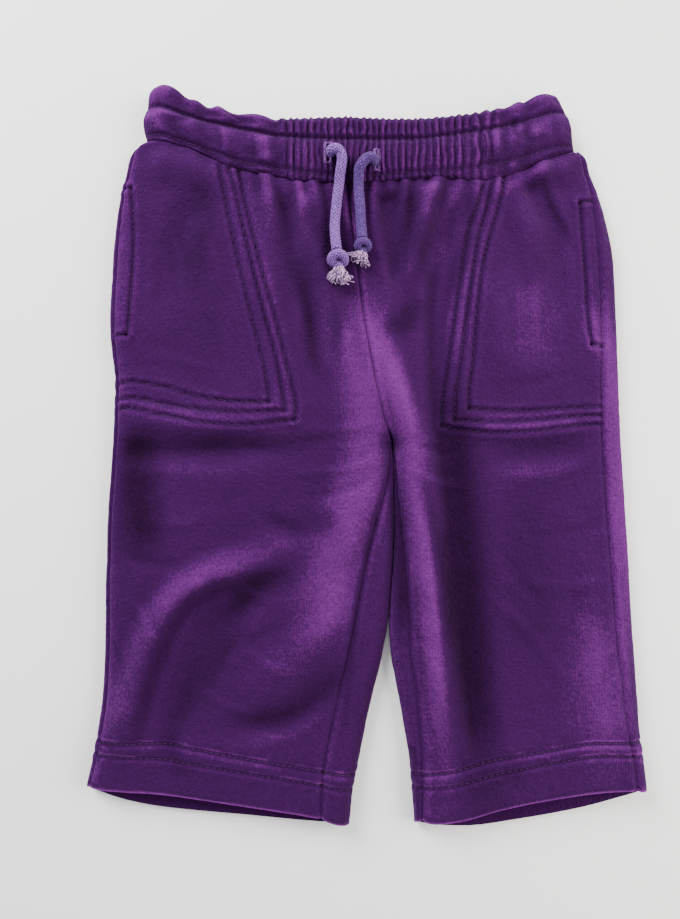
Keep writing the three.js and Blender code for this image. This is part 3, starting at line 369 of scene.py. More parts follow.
def rows_at(side, v):
    """The leg's two folded edges and how round they are, for each row share in v (a column)."""
    leg = LEGS[side]

    def place(guess, place_at):
        x = np.full(v.shape, float(guess))
        for _ in range(8):
            x = place_at(row_y(v, x, 0))
        return x

    outer_x = place(-120 * leg["sign"], leg["outer"])
    inner_x = place(10, lambda y: np.where(
        y > CROTCH_HEIGHT, centre_at(y) - leg["sign"] * SEAM_CLOSED, leg["inner"](y)))
    inner_y = row_y(v, inner_x, 0)
    above = np.clip((inner_y - CROTCH_HEIGHT) / TOP_ROUND, 0, 1)
    return {
        "sign": leg["sign"], "outer_x": outer_x, "inner_x": inner_x, "joined": above > 0,
        "roundness": np.where(above > 0, 1 - np.sqrt(1 - (1 - above) ** 2), 1),
        "outer_wrap": arc_of(leg["outer_wrap"](row_y(v, outer_x, 0))),
        "inner_wrap": np.where(above > 0, 0, arc_of(leg["inner_wrap"](inner_y))),
    }


def full_arc(row):
    return np.abs(row["inner_x"] - row["outer_x"]) - 2 * TOP_ROUND + 2 * TOP_ARC


def upper_point(row, v, outer_arc, under, fine):
    """A point of the cloth's outer side on top, at an arc length from the row's outer folded edge."""
    inner_arc = full_arc(row) - outer_arc
    from_outer = row["outer_x"] + row["sign"] * inset(outer_arc, TOP_ARC, TOP_ROUND, 1)
    from_inner = row["inner_x"] - row["sign"] * inset(inner_arc, TOP_ARC, TOP_ROUND, row["roundness"])
    x = np.where(outer_arc < inner_arc, from_outer, from_inner)
    y = row_y(v, x, under)
    roll = np.sin(QUARTER * np.clip((waist(x) - y) / WAIST_ROLL, 0, 1))
    height = lerp(waist_seam_height(x), cloth_height(x, y, v), roll)
    if fine:
        height = height + pleat_height(x, y) + hem_height(v)
    lifts = lift(outer_arc, TOP_ARC, 1) * lift(inner_arc, TOP_ARC, row["roundness"])
    return np.stack([x, y, EDGE_HEIGHT + (height - EDGE_HEIGHT) * lifts], axis=-1)


def under_point(row, v, edge, arc):
    round_ = 1 if edge == "outer" else row["roundness"]
    inward = inset(arc, UNDER_ARC, UNDER_ROUND, round_)
    x = row["outer_x"] + row["sign"] * inward if edge == "outer" else row["inner_x"] - row["sign"] * inward
    z = EDGE_HEIGHT * (1 - np.where(arc >= UNDER_ARC, 1, lift(arc, UNDER_ARC, round_)))
    return np.stack([x, row_y(v, x, 1), z], axis=-1)


def arch(t):
    return np.sqrt(1 - (1 - np.clip(t, 0, 1)) ** 2)


NOISE_CELLS = (97, 89)
NOISE_SHIFT = 400


def noise(x, y, cell, seed):
    """Smooth seeded noise from -1 to 1, with cells of that size."""
    values = np.random.default_rng(seed).uniform(-1, 1, NOISE_CELLS)
    gx, gy = x / cell + NOISE_SHIFT, y / cell + NOISE_SHIFT
    i, j = np.floor(gx).astype(int), np.floor(gy).astype(int)
    u, w = ease(gx - i), ease(gy - j)

    def corner(a, b):
        return values[(i + a) % NOISE_CELLS[0], (j + b) % NOISE_CELLS[1]]

    return lerp(lerp(corner(0, 0), corner(1, 0), u), lerp(corner(0, 1), corner(1, 1), u), w)


def normals_of(grid, facing):
    """Unit normals of a grid of points, turned over when facing is -1."""
    along = np.gradient(grid, axis=0)
    across = np.gradient(grid, axis=1)
    normal = np.cross(along, across)
    normal /= np.maximum(np.linalg.norm(normal, axis=-1, keepdims=True), 1e-9)
    return normal * facing


def blurred(height, reach):
    """The grid's heights, each averaged with its neighbours as far as reach."""
    padded = np.pad(height, reach, mode="edge")
    total = np.cumsum(np.cumsum(padded, axis=0), axis=1)
    total = np.pad(total, ((1, 0), (1, 0)))
    size = 2 * reach + 1
    boxes = total[size:, size:] - total[:-size, size:] - total[size:, :-size] + total[:-size, :-size]
    return boxes / size ** 2


def grid_faces(first, rows, columns):
    at = first + np.arange(rows * columns).reshape(rows, columns)
    return np.stack([at[:-1, :-1], at[1:, :-1], at[1:, 1:], at[:-1, 1:]], axis=-1).reshape(-1, 4)


def zipped(a, a_share, b, b_share):
    """Triangles that join two lines of numbered points, which may differ in number, by their shares."""
    faces = []
    i = j = 0
    while i < len(a) - 1 or j < len(b) - 1:
        next_a = a_share[i + 1] if i < len(a) - 1 else math.inf
        next_b = b_share[j + 1] if j < len(b) - 1 else math.inf
        if next_a <= next_b:
            faces.append((a[i], b[j], a[i + 1]))
            i += 1
        else:
            faces.append((a[i], b[j], b[j + 1]))
            j += 1
    return faces


def signed_volume(points, faces):
    a, b, c = (points[faces[:, k]] for k in range(3))
    return np.einsum("ij,ij->i", a, np.cross(b, c)).sum()


def make_mesh(name, points, quads, triangles, material, slot, painted_light=None, sharp=None):
    """A mesh object in metres from points in millimetres, with its smooth shading and its painted light and
    shade as a point attribute.
    """
    name = name + "_look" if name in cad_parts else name
    mesh = bpy.data.meshes.new(name)
    faces = [[int(i) for i in face] for group in (quads, triangles) for face in group]
    mesh.from_pydata((points * MM).tolist(), [], faces)
    mesh.validate()
    mesh.shade_smooth()
    if sharp:
        mesh.set_sharp_from_angle(angle=math.radians(sharp))
    if painted_light is not None:
        layer = mesh.attributes.new("painted_light", "FLOAT", "POINT")
        layer.data.foreach_set("value", painted_light.astype(np.float32))
    mesh.materials.append(material)
    obj = bpy.data.objects.new(name, mesh)
    bpy.context.scene.collection.objects.link(obj)
    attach(obj, "root")
    return obj


# Painted light on the pile: brighter as the cloth tilts to the left and away from the waist, towards the key
# light, and on its crests; painted shade in its troughs.
KEY_LIGHT_LEAN = (0.3, -0.3)
CREST_PAINTED_LIGHT = 0.16
STEEPEST = 0.8
SMALLEST_CELL = 0.2
SHARP_EDGE = 55


def wall(name, outer, inner, v, s, inner_v, inner_s, material, slot, brushed=0.0):
    """A closed thin wall from the grid of its outer side and the plainer grid of its inner side."""
    rows, columns = outer.shape[:2]
    inner_rows, inner_columns = inner.shape[:2]
    points = np.vstack([outer.reshape(-1, 3), inner.reshape(-1, 3)])
    a = np.arange(rows * columns).reshape(rows, columns)
    b = rows * columns + np.arange(inner_rows * inner_columns).reshape(inner_rows, inner_columns)
    inner_quads = grid_faces(rows * columns, inner_rows, inner_columns)[:, ::-1]
    quads = np.vstack([grid_faces(0, rows, columns), inner_quads])
    rims = zipped(a[0], s, b[0], inner_s)
    rims += [f[::-1] for f in zipped(a[-1], s, b[-1], inner_s)]
    rims += [f[::-1] for f in zipped(a[:, 0], v, b[:, 0], inner_v)]
    rims += zipped(a[:, -1], v, b[:, -1], inner_v)
    triangles = np.array([f for q in (quads[:, [0, 1, 2]], quads[:, [0, 2, 3]], np.array(rims)) for f in q])
    if signed_volume(points, triangles) < 0:
        quads = quads[:, ::-1]
        rims = [f[::-1] for f in rims]
    # Painted light and shade for each outer point: highlights on crests and on slopes towards the key light,
    # shade in troughs and on slopes turned away, plus the caller's painted light and shade in brushed.
    height = blurred(outer[..., 2], 3)
    crest = outer[..., 2] - blurred(outer[..., 2], 6)
    step_x = np.gradient(outer[..., 0])
    step_y = np.gradient(outer[..., 1])
    step_z = np.gradient(height)
    area = step_x[1] * step_y[0] - step_x[0] * step_y[1]
    area = np.where(np.abs(area) < SMALLEST_CELL, SMALLEST_CELL, area)
    slope_x = np.clip((step_z[1] * step_y[0] - step_z[0] * step_y[1]) / area, -STEEPEST, STEEPEST)
    slope_y = np.clip((step_z[0] * step_x[1] - step_z[1] * step_x[0]) / area, -STEEPEST, STEEPEST)
    facing_light = KEY_LIGHT_LEAN[0] * slope_x + KEY_LIGHT_LEAN[1] * slope_y
    painted_light = CREST_PAINTED_LIGHT * crest + facing_light + brushed
    painted_light = np.concatenate([painted_light.ravel(), np.zeros(inner.shape[0] * inner.shape[1])])
    return make_mesh(name, points, quads, rims, material, slot, painted_light, sharp=SHARP_EDGE)


def between(*stops):
    """Values from stop to stop, each stop given as (value, steps from the one before)."""
    values = [np.array([stops[0][0]], float)]
    for (a, _), (b, steps) in zip(stops[:-1], stops[1:]):
        values.append(np.linspace(a, b, steps + 1)[1:])
    return np.concatenate(values)


def every(count, step):
    """Each step-th number below count, and the last."""
    return np.unique(np.append(np.arange(0, count, step), count - 1))


def shares(count):
    """Even steps from 0 to 1, pulled closer together at both ends."""
    even = np.arange(count + 1) / count
    return even - 0.2 * np.sin(2 * np.pi * even) / (2 * np.pi)


# Rows and columns of the panels, about one millimetre apart, finer at the waist and the hem.
PANEL_ROWS = between((0, 0), (0.12, 52), (0.36, 72), (0.82, 136), (0.92, 60), (0.98, 16), (1, 16))
PANEL_COLUMNS = shares(132)
# Only each fourth row and column goes into a panel's inner side.
PLAIN = 4


def wall_at(v):
    return lerp(CLOTH, HEM_CLOTH, ramp(v, *DOUBLE_RAMP))


def front_surface(side, v, s, fine, trim=0.0):
    row = rows_at(side, v)
    full = full_arc(row)
    start = row["outer_wrap"] + SEAM_CLOSED + trim
    end = full - row["inner_wrap"] - np.where(row["joined"], 0, SEAM_CLOSED) - trim
    arc = lerp(start, end, s)
    top = upper_point(row, v, arc, 0, fine)
    below = (arc > full) & (row["roundness"] == 1)
    points = np.where(below[..., None], under_point(row, v, "inner", arc - full), top)
    return points, arc - start, end - arc


def seam_dip(distance):
    """Cloth turns down into a seam over its last millimetres."""
    return -0.9 * bell(np.maximum(distance, 0), 0.9) + 0.25 * bell(distance - 2.6, 1.4)


# Stitched lines seen from above, each as the places it runs through.
POCKET_LINES = {
    "right": (
        ((-73.5, 141.7), (-71.4, 130), (-67.3, 109.7), (-62.7, 89.4), (-56.6, 64.3), (-51.2, 42.9),
         (-48.6, 30), (-48.1, 23.6)),
        ((-68.5, 140.2), (-64.9, 127.4), (-60.3, 106.6), (-54.7, 84.4), (-49.6, 64.3), (-44.6, 44.6),
         (-41.8, 30), (-40.5, 19.4)),
        ((-64, 139.2), (-60.4, 122.3), (-55.3, 102.1), (-50.7, 84.4), (-44.9, 64.3), (-40.1, 44.6),
         (-35.9, 28.5), (-34.7, 21.6), (-35.4, 14.9)),
        ((-122.1, 32.6), (-118.2, 33.7), (-102.9, 31.8), (-81.7, 26.2), (-64.7, 24.0), (-48.1, 23.6)),
        ((-122, 25), (-115.6, 25.8), (-90.2, 21.1), (-64.6, 18.6), (-40.5, 19.4)),
        ((-121.9, 19.8), (-118.9, 20.7), (-98.6, 16.8), (-77.4, 13.2), (-60.4, 12.2), (-35.4, 14.9)),
    ),
    "left": (
        ((58, 131.7), (54.9, 120.8), (51, 110.7), (46.8, 85.6), (43.7, 64.3), (41.6, 49.1), (39.4, 33.9),
         (37.9, 21.7), (37.8, 12.2)),
        ((63.5, 134.7), (59.9, 120.8), (55.7, 105.6), (52.6, 85.6), (49.2, 64.3), (46.6, 44), (44.4, 28.8),
         (43.8, 14.6)),
        ((69, 135.7), (65.8, 120.8), (60.7, 103.6), (57.6, 90.6), (54.3, 64.3), (52.6, 44), (50.5, 28.8),
         (50.4, 20.2)),
        ((50.4, 20.2), (72.5, 19.2), (92.6, 20.2), (114.7, 21.2)),
        ((43.8, 14.6), (62.2, 13.7), (82.4, 14.6), (97.5, 16.1), (114.6, 17.2)),
        ((37.8, 12.2), (52.3, 9.2), (67.3, 8.4), (82.3, 9.2), (102.5, 11.7), (114.5, 12.7)),
    ),
}
# The stitching beside each pocket's opening: a line along it, and a bar at each end.
SLIT_LINES = {
    "right": (
        ((-117.5, 131.0), (-115.8, 107), (-116.4, 88.3), (-117.5, 69.6), (-118.6, 57.1)),
        ((-121.4, 131.4), (-119.5, 131.3), (-117.5, 131.0)),
        ((-123.4, 56.8), (-121.0, 56.9), (-118.6, 57.1)),
    ),
    "left": (
        ((106.4, 123.3), (108.2, 94.8), (109.7, 64.6), (111.4, 52.1)),
        ((112.4, 124.2), (109.4, 123.8), (106.4, 123.3)),
        ((116.4, 51.4), (113.9, 51.7), (111.4, 52.1)),
    ),
}
POCKET_CURVES = {
    side: [spline(path, 40) for path in lines] + [spline(path, 24) for path in SLIT_LINES[side]]
    for side, lines in POCKET_LINES.items()
}

# Smaller creases: (rise, half width, path).
SMALL_CREASES = (
    (0.7, 4, ((10, -4), (-14, -10), (-44, -12))), (-0.6, 3.5, ((8, -12), (-12, -20), (-36, -24))),
    (0.6, 4, ((8, 14), (-12, 10), (-38, 8))), (-0.5, 3.5, ((-20, 2), (-40, -2), (-66, 4))),
    (0.6, 4, ((16, -6), (34, -16), (56, -18))), (-0.5, 4, ((16, 8), (34, 0), (58, 2))),
    (0.5, 5, ((-122, -30), (-96, -36), (-66, -32))), (-0.6, 4, ((-124, -48), (-104, -56), (-82, -56))),
    (0.7, 4, ((-120, -70), (-108, -80), (-96, -104))), (-0.5, 4, ((-128, -88), (-118, -104), (-112, -128))),
    (0.6, 5, ((-70, -60), (-52, -72), (-34, -76))), (0.5, 4, ((-62, -94), (-48, -104), (-24, -108))),
    (-0.6, 5, ((-40, -84), (-54, -92), (-74, -102))), (0.5, 4, ((-88, -112), (-70, -122), (-44, -132))),
    (0.5, 4, ((-10, -30), (-2, -58), (-4, -84))), (-0.5, 4, ((2, -22), (6, -48), (2, -76))),
    (0.6, 5, ((118, 0), (92, -12), (60, -14))), (-0.5, 5, ((124, -30), (104, -40), (76, -42))),
    (0.5, 5, ((122, -60), (98, -66), (72, -62))), (-0.5, 5, ((58, -40), (72, -60), (92, -84))),
    (0.6, 5, ((60, -70), (78, -88), (100, -118))), (-0.5, 5, ((126, -92), (116, -106), (108, -132))),
    (0.5, 4, ((28, -92), (34, -112), (38, -138))), (-0.6, 4, ((24, -60), (30, -84), (32, -108))),
    (0.6, 4, ((-100, 112), (-92, 92), (-90, 66))), (-0.5, 4, ((-110, 118), (-104, 92), (-104, 62))),
    (0.5, 4, ((-84, 120), (-76, 98), (-72, 74))), (-0.5, 4, ((-78, 70), (-74, 52), (-70, 34))),
    (0.6, 3.5, ((-36, 110), (-30, 84), (-22, 54))), (-0.6, 3, ((-18, 104), (-12, 76), (-6, 44))),
    (0.5, 3.5, ((6, 112), (10, 84), (10, 58))), (-0.5, 3, ((22, 118), (20, 92), (16, 66))),
    (0.6, 4, ((40, 112), (38, 84), (34, 56))), (0.5, 5, ((78, 100), (84, 76), (82, 48))),
    (-0.5, 4, ((68, 84), (72, 62), (70, 40))), (0.5, 5, ((98, 108), (102, 84), (100, 54))),
    (-0.4, 4, ((104, 40), (86, 34), (62, 32))), (0.4, 4, ((-110, 48), (-92, 44), (-66, 38))),
)

# Soft creases of the under side, where the cloth lies on the floor: (depth, half width, path).
UNDER_CREASES = (
    (0.5, 5, ((-118, -120), (-80, -90), (-40, -84))), (0.4, 4, ((-110, -60), (-70, -40), (-20, -44))),
    (0.5, 6, ((-30, 120), (-26, 60), (-10, 10))), (0.4, 5, ((40, 124), (34, 70), (20, 16))),
    (0.45, 5, ((110, -20), (76, -36), (34, -30))), (0.4, 5, ((112, -110), (80, -96), (42, -104))),
    (0.35, 6, ((-96, 120), (-90, 70), (-100, 10))), (0.35, 6, ((84, 120), (88, 70), (80, 10))),
)

# Loose folds of the waistband beside its close gathers: (rise, half width, path).
BAND_PUFFS = (
    (0.7, 4.5, ((-64, 161), (-63, 151), (-61, 139))),
    (0.6, 4, ((-50, 158), (-49, 149), (-48, 136))),
    (0.4, 3, ((-31, 154), (-31, 146), (-30, 135))),
    (0.6, 4, ((64, 162), (65, 153), (66, 139))),
    (0.6, 4.5, ((82, 168), (83, 159), (84, 144))),
    (-0.8, 3, ((-75, 162), (-73, 153), (-72, 144))),
    (-0.8, 2.6, ((-57, 158), (-56, 148), (-55, 138))),
    (-0.7, 2.6, ((-43, 155), (-42, 147), (-41, 136))),
    (-0.7, 2.6, ((57, 159), (58, 151), (59, 138))),
    (-0.8, 3, ((73, 166), (74, 157), (75, 142))),
    (-0.6, 3, ((92, 168), (93, 160), (95, 148))),
)
# Painted highlight on the band's puffs and painted shade in the dips between them.
PUFF_PAINTED_LIGHT = 0.22

# Painted light and shade in strokes along the folds and seams: brighter where the pile is lit, darker where
# it lies in shade: (tone, half width, path).
PAINTED_LIGHT_STROKES = (
    (0.4, 25, ((-6, 96), (-2, 50), (2, 14), (0, -24))),
    (0.48, 26, ((14, 14), (-4, -30), (-19, -66), (-27, -104))),
    (0.22, 15, ((-114, -102), (-93, -74), (-75, -59), (-49, -49), (-19, -44))),
    (0.24, 15, ((0, -44), (-18, -83), (-38, -112), (-64, -126))),
    (0.5, 12, ((-2, 88), (8, 54), (17, 28), (25, 2), (29, -50), (33, -96), (37, -156), (38, -215))),
    (0.68, 17, ((125, 104), (127, 19), (130, -49), (134, -145))),
    (0.25, 22, ((78, 93), (81, 63), (84, 31))),
    (0.25, 12, ((109, 78), (114, 56), (117, 39))),
    (-0.16, 30, ((-88, 130), (-86, 80), (-84, 20))),
    (0.34, 24, ((106, -66), (112, -104), (115, -136), (118, -172))),
    (0.45, 4.5, ((-18, 140), (-11, 121), (-3, 100))),
    (0.5, 6, ((48, 139), (40, 121), (36, 101), (31, 83))),
    (0.4, 4, ((-95, 153), (-77, 149), (-62, 144), (-39, 139))),
    (0.35, 5, ((-36, 140), (-32, 131), (-28, 118))),
    (0.35, 4, ((100, 153), (110, 151), (119, 149))),
    (-0.75, 17, ((38, 60), (43, 20), (48, -30), (52, -88), (55, -150), (56, -190))),
    (-0.55, 11, ((-19, -50), (-51, -64), (-68, -88), (-87, -126), (-98, -154))),
    (-0.45, 8, ((-7, -99), (-19, -117), (-43, -131), (-69, -127))),
    (-0.4, 6, ((-107, 6), (-68, 4), (-34, 5), (-7, 11))),
    (-0.75, 18, ((-114, 22), (-112, -20), (-110, -62))),
    (-0.32, 9, ((-94, 145), (-81, 124), (-85, 99), (-90, 71))),
    (-0.4, 6, ((-32, 136), (-22, 104), (-14, 68), (-16, 34))),
    (-0.55, 11, ((16, 139), (22, 111), (22, 86))),
    (-0.45, 6, ((56, 134), (50, 104), (39, 69))),
    (-0.5, 3.5, ((87, 138), (93, 122), (105, 98))),
    (-0.22, 22, ((74, -6), (78, -59), (83, -112))),
    (-0.25, 10, ((62, -152), (77, -156))),
    (-0.25, 10, ((-38, -30), (-24, -35), (-11, -34))),
    (-0.3, 8, ((-100, -135), (-91, -149), (-86, -159))),
    (-0.5, 10, ((28, 80), (17, 62), (8, 66))),
    (-0.7, 6, ((13, 6), (15.5, -40), (17, -72), (16, -102))),
    (-0.45, 6, ((-34, 110), (-29, 76), (-27, 48), (-20, 30))),
    (-0.5, 3.4, ((12, -4), (5.6, -30), (-1, -57), (-7.8, -100), (-12, -150))),
    (-0.5, 6.5, ((20, 16), (27, -14), (31.8, -34), (35.5, -53), (38, -73), (40, -100), (43, -140))),
)
RIM_PAINTED_HIGHLIGHT = 1.0
RIM_REACH = 0.006
HEM_LINE_PAINTED_LIGHT = 0.5
STITCH_PAINTED_LIGHT = 0.06
STITCH_REACH = 6
HEM_GROOVE_RUN = {"right": (-137, -4), "left": (20, 138)}
CREASE_FADE_IN = 0.3
CREASE_FADE_OUT = 0.35


def drawn(rows):
    return [(amount, width, spline(path)) for amount, width, path in rows]


small_curves = drawn(SMALL_CREASES)
under_curves = drawn(UNDER_CREASES)
puff_curves = drawn(BAND_PUFFS)
painted_light_curves = drawn(PAINTED_LIGHT_STROKES)


def creases(curves, x, y):
    """All the curves' rounded ridges together, each fading out at both its ends."""
    total = np.zeros(x.shape)
    for amount, width, spine in curves:
        near, gap, _, share = beside(spine, x, y, width)
        fade = ease(share / CREASE_FADE_IN) * ease((1 - share) / CREASE_FADE_OUT)
        total[near] += amount * fade * hump(gap, width)
    return total


def rim_painted_highlight(v):
    """Painted highlight along the hem's folded edge, where the pile stands up and catches the light."""
    return RIM_PAINTED_HIGHLIGHT * bell(1 - v, RIM_REACH)


def hem_line_painted_light(x, y):
    """Painted shade in each stitched line of the hem, and a painted highlight where the pile stands up just
    above it.
    """
    tone = 0
    for line_at in (hem_top_at, hem_low_at):
        above = y - line_at(x)
        uneven = 0.75 + 0.5 * noise(x, y, 4.5, 51)
        tone = tone + HEM_LINE_PAINTED_LIGHT * (uneven * bell(above - 1.3, 0.6) - bell(above, 0.7))
    return tone


def cloth_mottle(x, y, z):
    """Soft unevenness of pile cloth, from broad dents to the fine grain of its pile."""
    broad = 0.16 * noise(x, y, 17, 1) + 0.11 * noise(x + z, y - 0.5 * x, 8.5, 2)
    return broad + 0.07 * noise(x + z, y, 3.9, 3) + 0.05 * noise(x, y + z, 1.9, 4)


def stitched_dip(x, y, curve, depth, pucker):
    """A line of stitching pulls the cloth down, more at some places than others, with puckers beside it."""
    near, gap, across, share = beside(curve, x, y, STITCH_REACH)
    length = np.linalg.norm(np.diff(curve[:, :2], axis=0), axis=1).sum()
    along = share * length
    side = np.sign(across)
    ripple = noise(along, side * 3.0, 3.1, 31) + 0.6 * noise(along, side * 9.0, 7.3, 32)
    dip = -depth * bell(gap, 0.6) + pucker * ripple * bell(gap - 2.2, 1.7)
    swell = 0.5 * depth * bell(gap - 2.4, 1.2)
    height = np.zeros(x.shape)
    height[near] = (dip + swell) * (gap < STITCH_REACH)
    return height


def hem_curve(line_at, low, high):
    x = np.linspace(low, high, 60)
    return np.stack([x, line_at(x)], axis=-1)


def stitch_grooves(x, y, side):
    total = sum(stitched_dip(x, y, curve, 0.9, 0.12) for curve in POCKET_CURVES[side])
    for line_at in (hem_top_at, hem_low_at):
        total = total + stitched_dip(x, y, hem_curve(line_at, *HEM_GROOVE_RUN[side]), 0.2, 0.14)
    return total


def stitch_painted_light(x, y, side):
    """Painted shade where the pile is pressed down in a stitched line, and painted highlights where it
    stands up on both sides.
    """
    tone = np.zeros(x.shape)
    for curve in POCKET_CURVES[side]:
        near, gap, _, _ = beside(curve, x, y, 5)
        tone[near] += STITCH_PAINTED_LIGHT * (bell(gap - 2.3, 1.1) - 5.0 * bell(gap, 0.7))
    return tone


def band_extra(count, line, folded, sharp):
    """Gathers of the elastic are sharper, and less even, than plain waves."""
    small = 0.5 * (1 - np.cos(4 * np.pi * count + 2.6 * noise(count, line * 3, 1.7, 41)))
    uneven = 0.42 * folded * noise(count, line * 5, 1.3, 42) + 0.16 * small * noise(count, line * 4, 2.3, 43)
    calm = 0.3 + 0.7 * ease(line / 0.6)
    return calm * (1.5 * sharp + 0.45 * (folded - 0.4) + uneven)


def slit_dip(x, y):
    """The band sinks into the two buttonholes."""
    dips = [
        bell(x - at_x, 0.5) * (np.abs(y - at_y) < half_long)
        for at_x, at_y, half_long in BUTTONHOLES
    ]
    return -SLIT_DEPTH * sum(dips)


def band_grooves(x, y, line):
    """The stitched lines round the elastic, at its top and its bottom edge."""
    return -0.35 * bell(y - band_mid(x), 0.7) - 0.3 * bell(y - band_low(x), 0.7)


# A panel's painted light and shade: the strokes along its folds, the hem's highlighted rim and its stitched
# hem lines.
def panel_painted_light(x, y, v):
    return creases(painted_light_curves, x, y) + rim_painted_highlight(v) + hem_line_painted_light(x, y)


def front_panel(side, material):
    v = PANEL_ROWS[:, None]
    s = PANEL_COLUMNS[None, :]
    facing = LEGS[side]["sign"]
    outer, from_side, from_inner = front_surface(side, v, s, True)
    plain, _, _ = front_surface(side, v, s, False, SEWN_TRIM)
    normal = normals_of(outer, facing)
    x, y = outer[..., 0], outer[..., 1]
    detail = creases(small_curves, x, y) + cloth_mottle(x, y, outer[..., 2]) + 0.7 * pleat_height(x, y)
    detail += seam_dip(from_side) + seam_dip(from_inner) + stitch_grooves(x, y, side)
    outer = outer + normal * detail[..., None]
    inner = plain - normals_of(plain, facing) * wall_at(v)[..., None]
    rows, columns = every(len(PANEL_ROWS), PLAIN), every(len(PANEL_COLUMNS), PLAIN)
    inner = inner[np.ix_(rows, columns)]
    obj = wall("front_" + side, outer, inner, PANEL_ROWS, PANEL_COLUMNS, PANEL_ROWS[rows],
               PANEL_COLUMNS[columns], material, "velour", panel_painted_light(x, y, v) + stitch_painted_light(x, y, side))
    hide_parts("front_" + side)
    return obj


FLAT_START = 6.6
OUTER_STEPS = between((0, 0), (0.5, 14), (1, 16))
INNER_STEPS = between((0, 0), (0.3, 14), (1, 24))
FLOOR_STEPS = np.linspace(0, 1, 34)[1:-1]
FAR = 99.0
PILE_MEETS = 0.34


def back_surface(side, v, trim=0.0):
    row = rows_at(side, v)
    full = full_arc(row)

    def edge_points(edge, steps):
        wrap = row[edge + "_wrap"]
        gap = trim + np.where(row["joined"] & (edge == "inner"), 0, SEAM_CLOSED)
        arc = lerp(wrap - gap, -FLAT_START, steps[None, :])
        under = np.clip(1 - arc / np.maximum(wrap, 1), 0, 1)
        top = upper_point(row, v, arc if edge == "outer" else full - arc, under, True)
        below = (arc <= 0) | ((edge == "inner") & (row["roundness"] < 1))
        return np.where(below[..., None], under_point(row, v, edge, -arc), top), wrap - gap - arc

    outer, from_side = edge_points("outer", OUTER_STEPS)
    inner, from_inner = edge_points("inner", INNER_STEPS)
    inner, from_inner = inner[:, ::-1], from_inner[:, ::-1]
    x = lerp(outer[:, -1:, 0], inner[:, :1, 0], FLOOR_STEPS[None, :])
    floor = np.stack([x, row_y(v, x, 1), np.zeros(x.shape)], axis=-1)
    far = np.full(x.shape, FAR)
    points = np.concatenate([outer, floor, inner], axis=1)
    side_gap = np.concatenate([from_side, far, np.full(from_inner.shape, FAR)], axis=1)
    inner_gap = np.concatenate([np.full(from_side.shape, FAR), far, from_inner], axis=1)
    return points, side_gap, inner_gap


def gap_filling(x, y):
    """The pile of the two inner legs meets and fills the gap below the crotch."""
    along = ease((CROTCH_HEIGHT + 11 - y) / 5) * ease((y + 104) / 24)
    return PILE_MEETS * along * bell(x - 13, 7)


def back_panel(side, material):
    v = PANEL_ROWS[:, None]
    facing = -LEGS[side]["sign"]
    outer, from_side, from_inner = back_surface(side, v)
    plain, _, _ = back_surface(side, v, SEWN_TRIM)
    normal = normals_of(outer, facing)
    x, y, z = outer[..., 0], outer[..., 1], outer[..., 2]
    raised = ease(z / 4)
    detail = creases(small_curves, x, y) * raised + cloth_mottle(x, y, z) * raised
    detail += (seam_dip(from_side) + seam_dip(from_inner)) * raised + stitch_grooves(x, y, side) * raised
    detail -= creases(under_curves, x, y) * (1 - raised)
    outer = outer + normal * (detail + gap_filling(x, y))[..., None]
    outer[..., 2] = np.maximum(outer[..., 2], 0)
    inner = plain - normals_of(plain, facing) * wall_at(v)[..., None]
    columns_share = np.linspace(0, 1, outer.shape[1])
    rows, columns = every(len(PANEL_ROWS), PLAIN), every(outer.shape[1], 2)
    inner = inner[np.ix_(rows, columns)]
    obj = wall("back_" + side, outer, inner, PANEL_ROWS, columns_share, PANEL_ROWS[rows],
               columns_share[columns], material, "velour", panel_painted_light(x, y, v) * raised)
    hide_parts("back_" + side)
    return obj


BAG_FROM, BAG_TO = 0.04, 0.33
BAG_CLOTH, BAG_GAP = 1.2, 0.9


def pocket_bag(side, in_top, in_low, material):
    """Second layer of cloth under the front, from the side seam to the slanted stitching."""
    rows = np.linspace(BAG_FROM, BAG_TO, 60)
    v = rows[:, None]
    dense = np.linspace(0, 0.7, 200)
    sign = LEGS[side]["sign"]
    limit = np.linspace(in_top, in_low, len(rows))
    across, _, _ = front_surface(side, v, dense[None, :], False, INNER_TRIM)
    ends = np.array([np.interp(limit[i] * sign, across[i, :, 0] * sign, dense) for i in range(len(rows))])
    steps = np.linspace(0.004, 1, 40)
    plain, _, _ = front_surface(side, v, ends[:, None] * steps[None, :], False, INNER_TRIM)
    normal = normals_of(plain, sign)
    upper = plain - normal * (CLOTH + BAG_GAP)
    lower = plain - normal * (CLOTH + BAG_GAP + BAG_CLOTH)
    name = "pocket_bag_" + side
    obj = wall(name, upper, lower[::2, ::3], rows, steps, rows[::2], steps[::3], material, "pocket_velour")
    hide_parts(name)
    return obj


gather_place = through(gathers, "count", "x")
gather_rise = through(gathers, "count", "rise")
gather_lobe = through(gathers, "count", "lobe")
band_top = through(band_lines, "x", "top")
band_mid = through(band_lines, "x", "mid")
band_low = through(band_lines, "x", "low")
BAND_RIGHT, BAND_LEFT = gathers["x"][0], gathers["x"][-1]
LAST_GATHER = gathers["count"][-1]
BAND_STEPS = between((0, 0), (0.3, 5), (1, 13), (1.5, 9), (2, 12), (3, 12))
BAND_INSIDE = table("line z", (0, 9.3), (1, 9.3), (1.5, 8.8), (3, 7.4))
# Painted shade in the gathers' valleys and painted highlight on their folds.
BAND_GATHER_PAINTED_LIGHT = 0.34


def band_line_y(line, x):
    lines = np.stack(np.broadcast_arrays(band_top(x), band_mid(x), band_low(x), waist(x) + SEAM_GAP))
    i = np.clip(np.floor(line).astype(int), 0, 2)
    i = np.broadcast_to(i, x.shape)

    def at(k):
        return np.take_along_axis(lines, k[None], axis=0)[0]

    return lerp(at(i), at(i + 1), line - i)


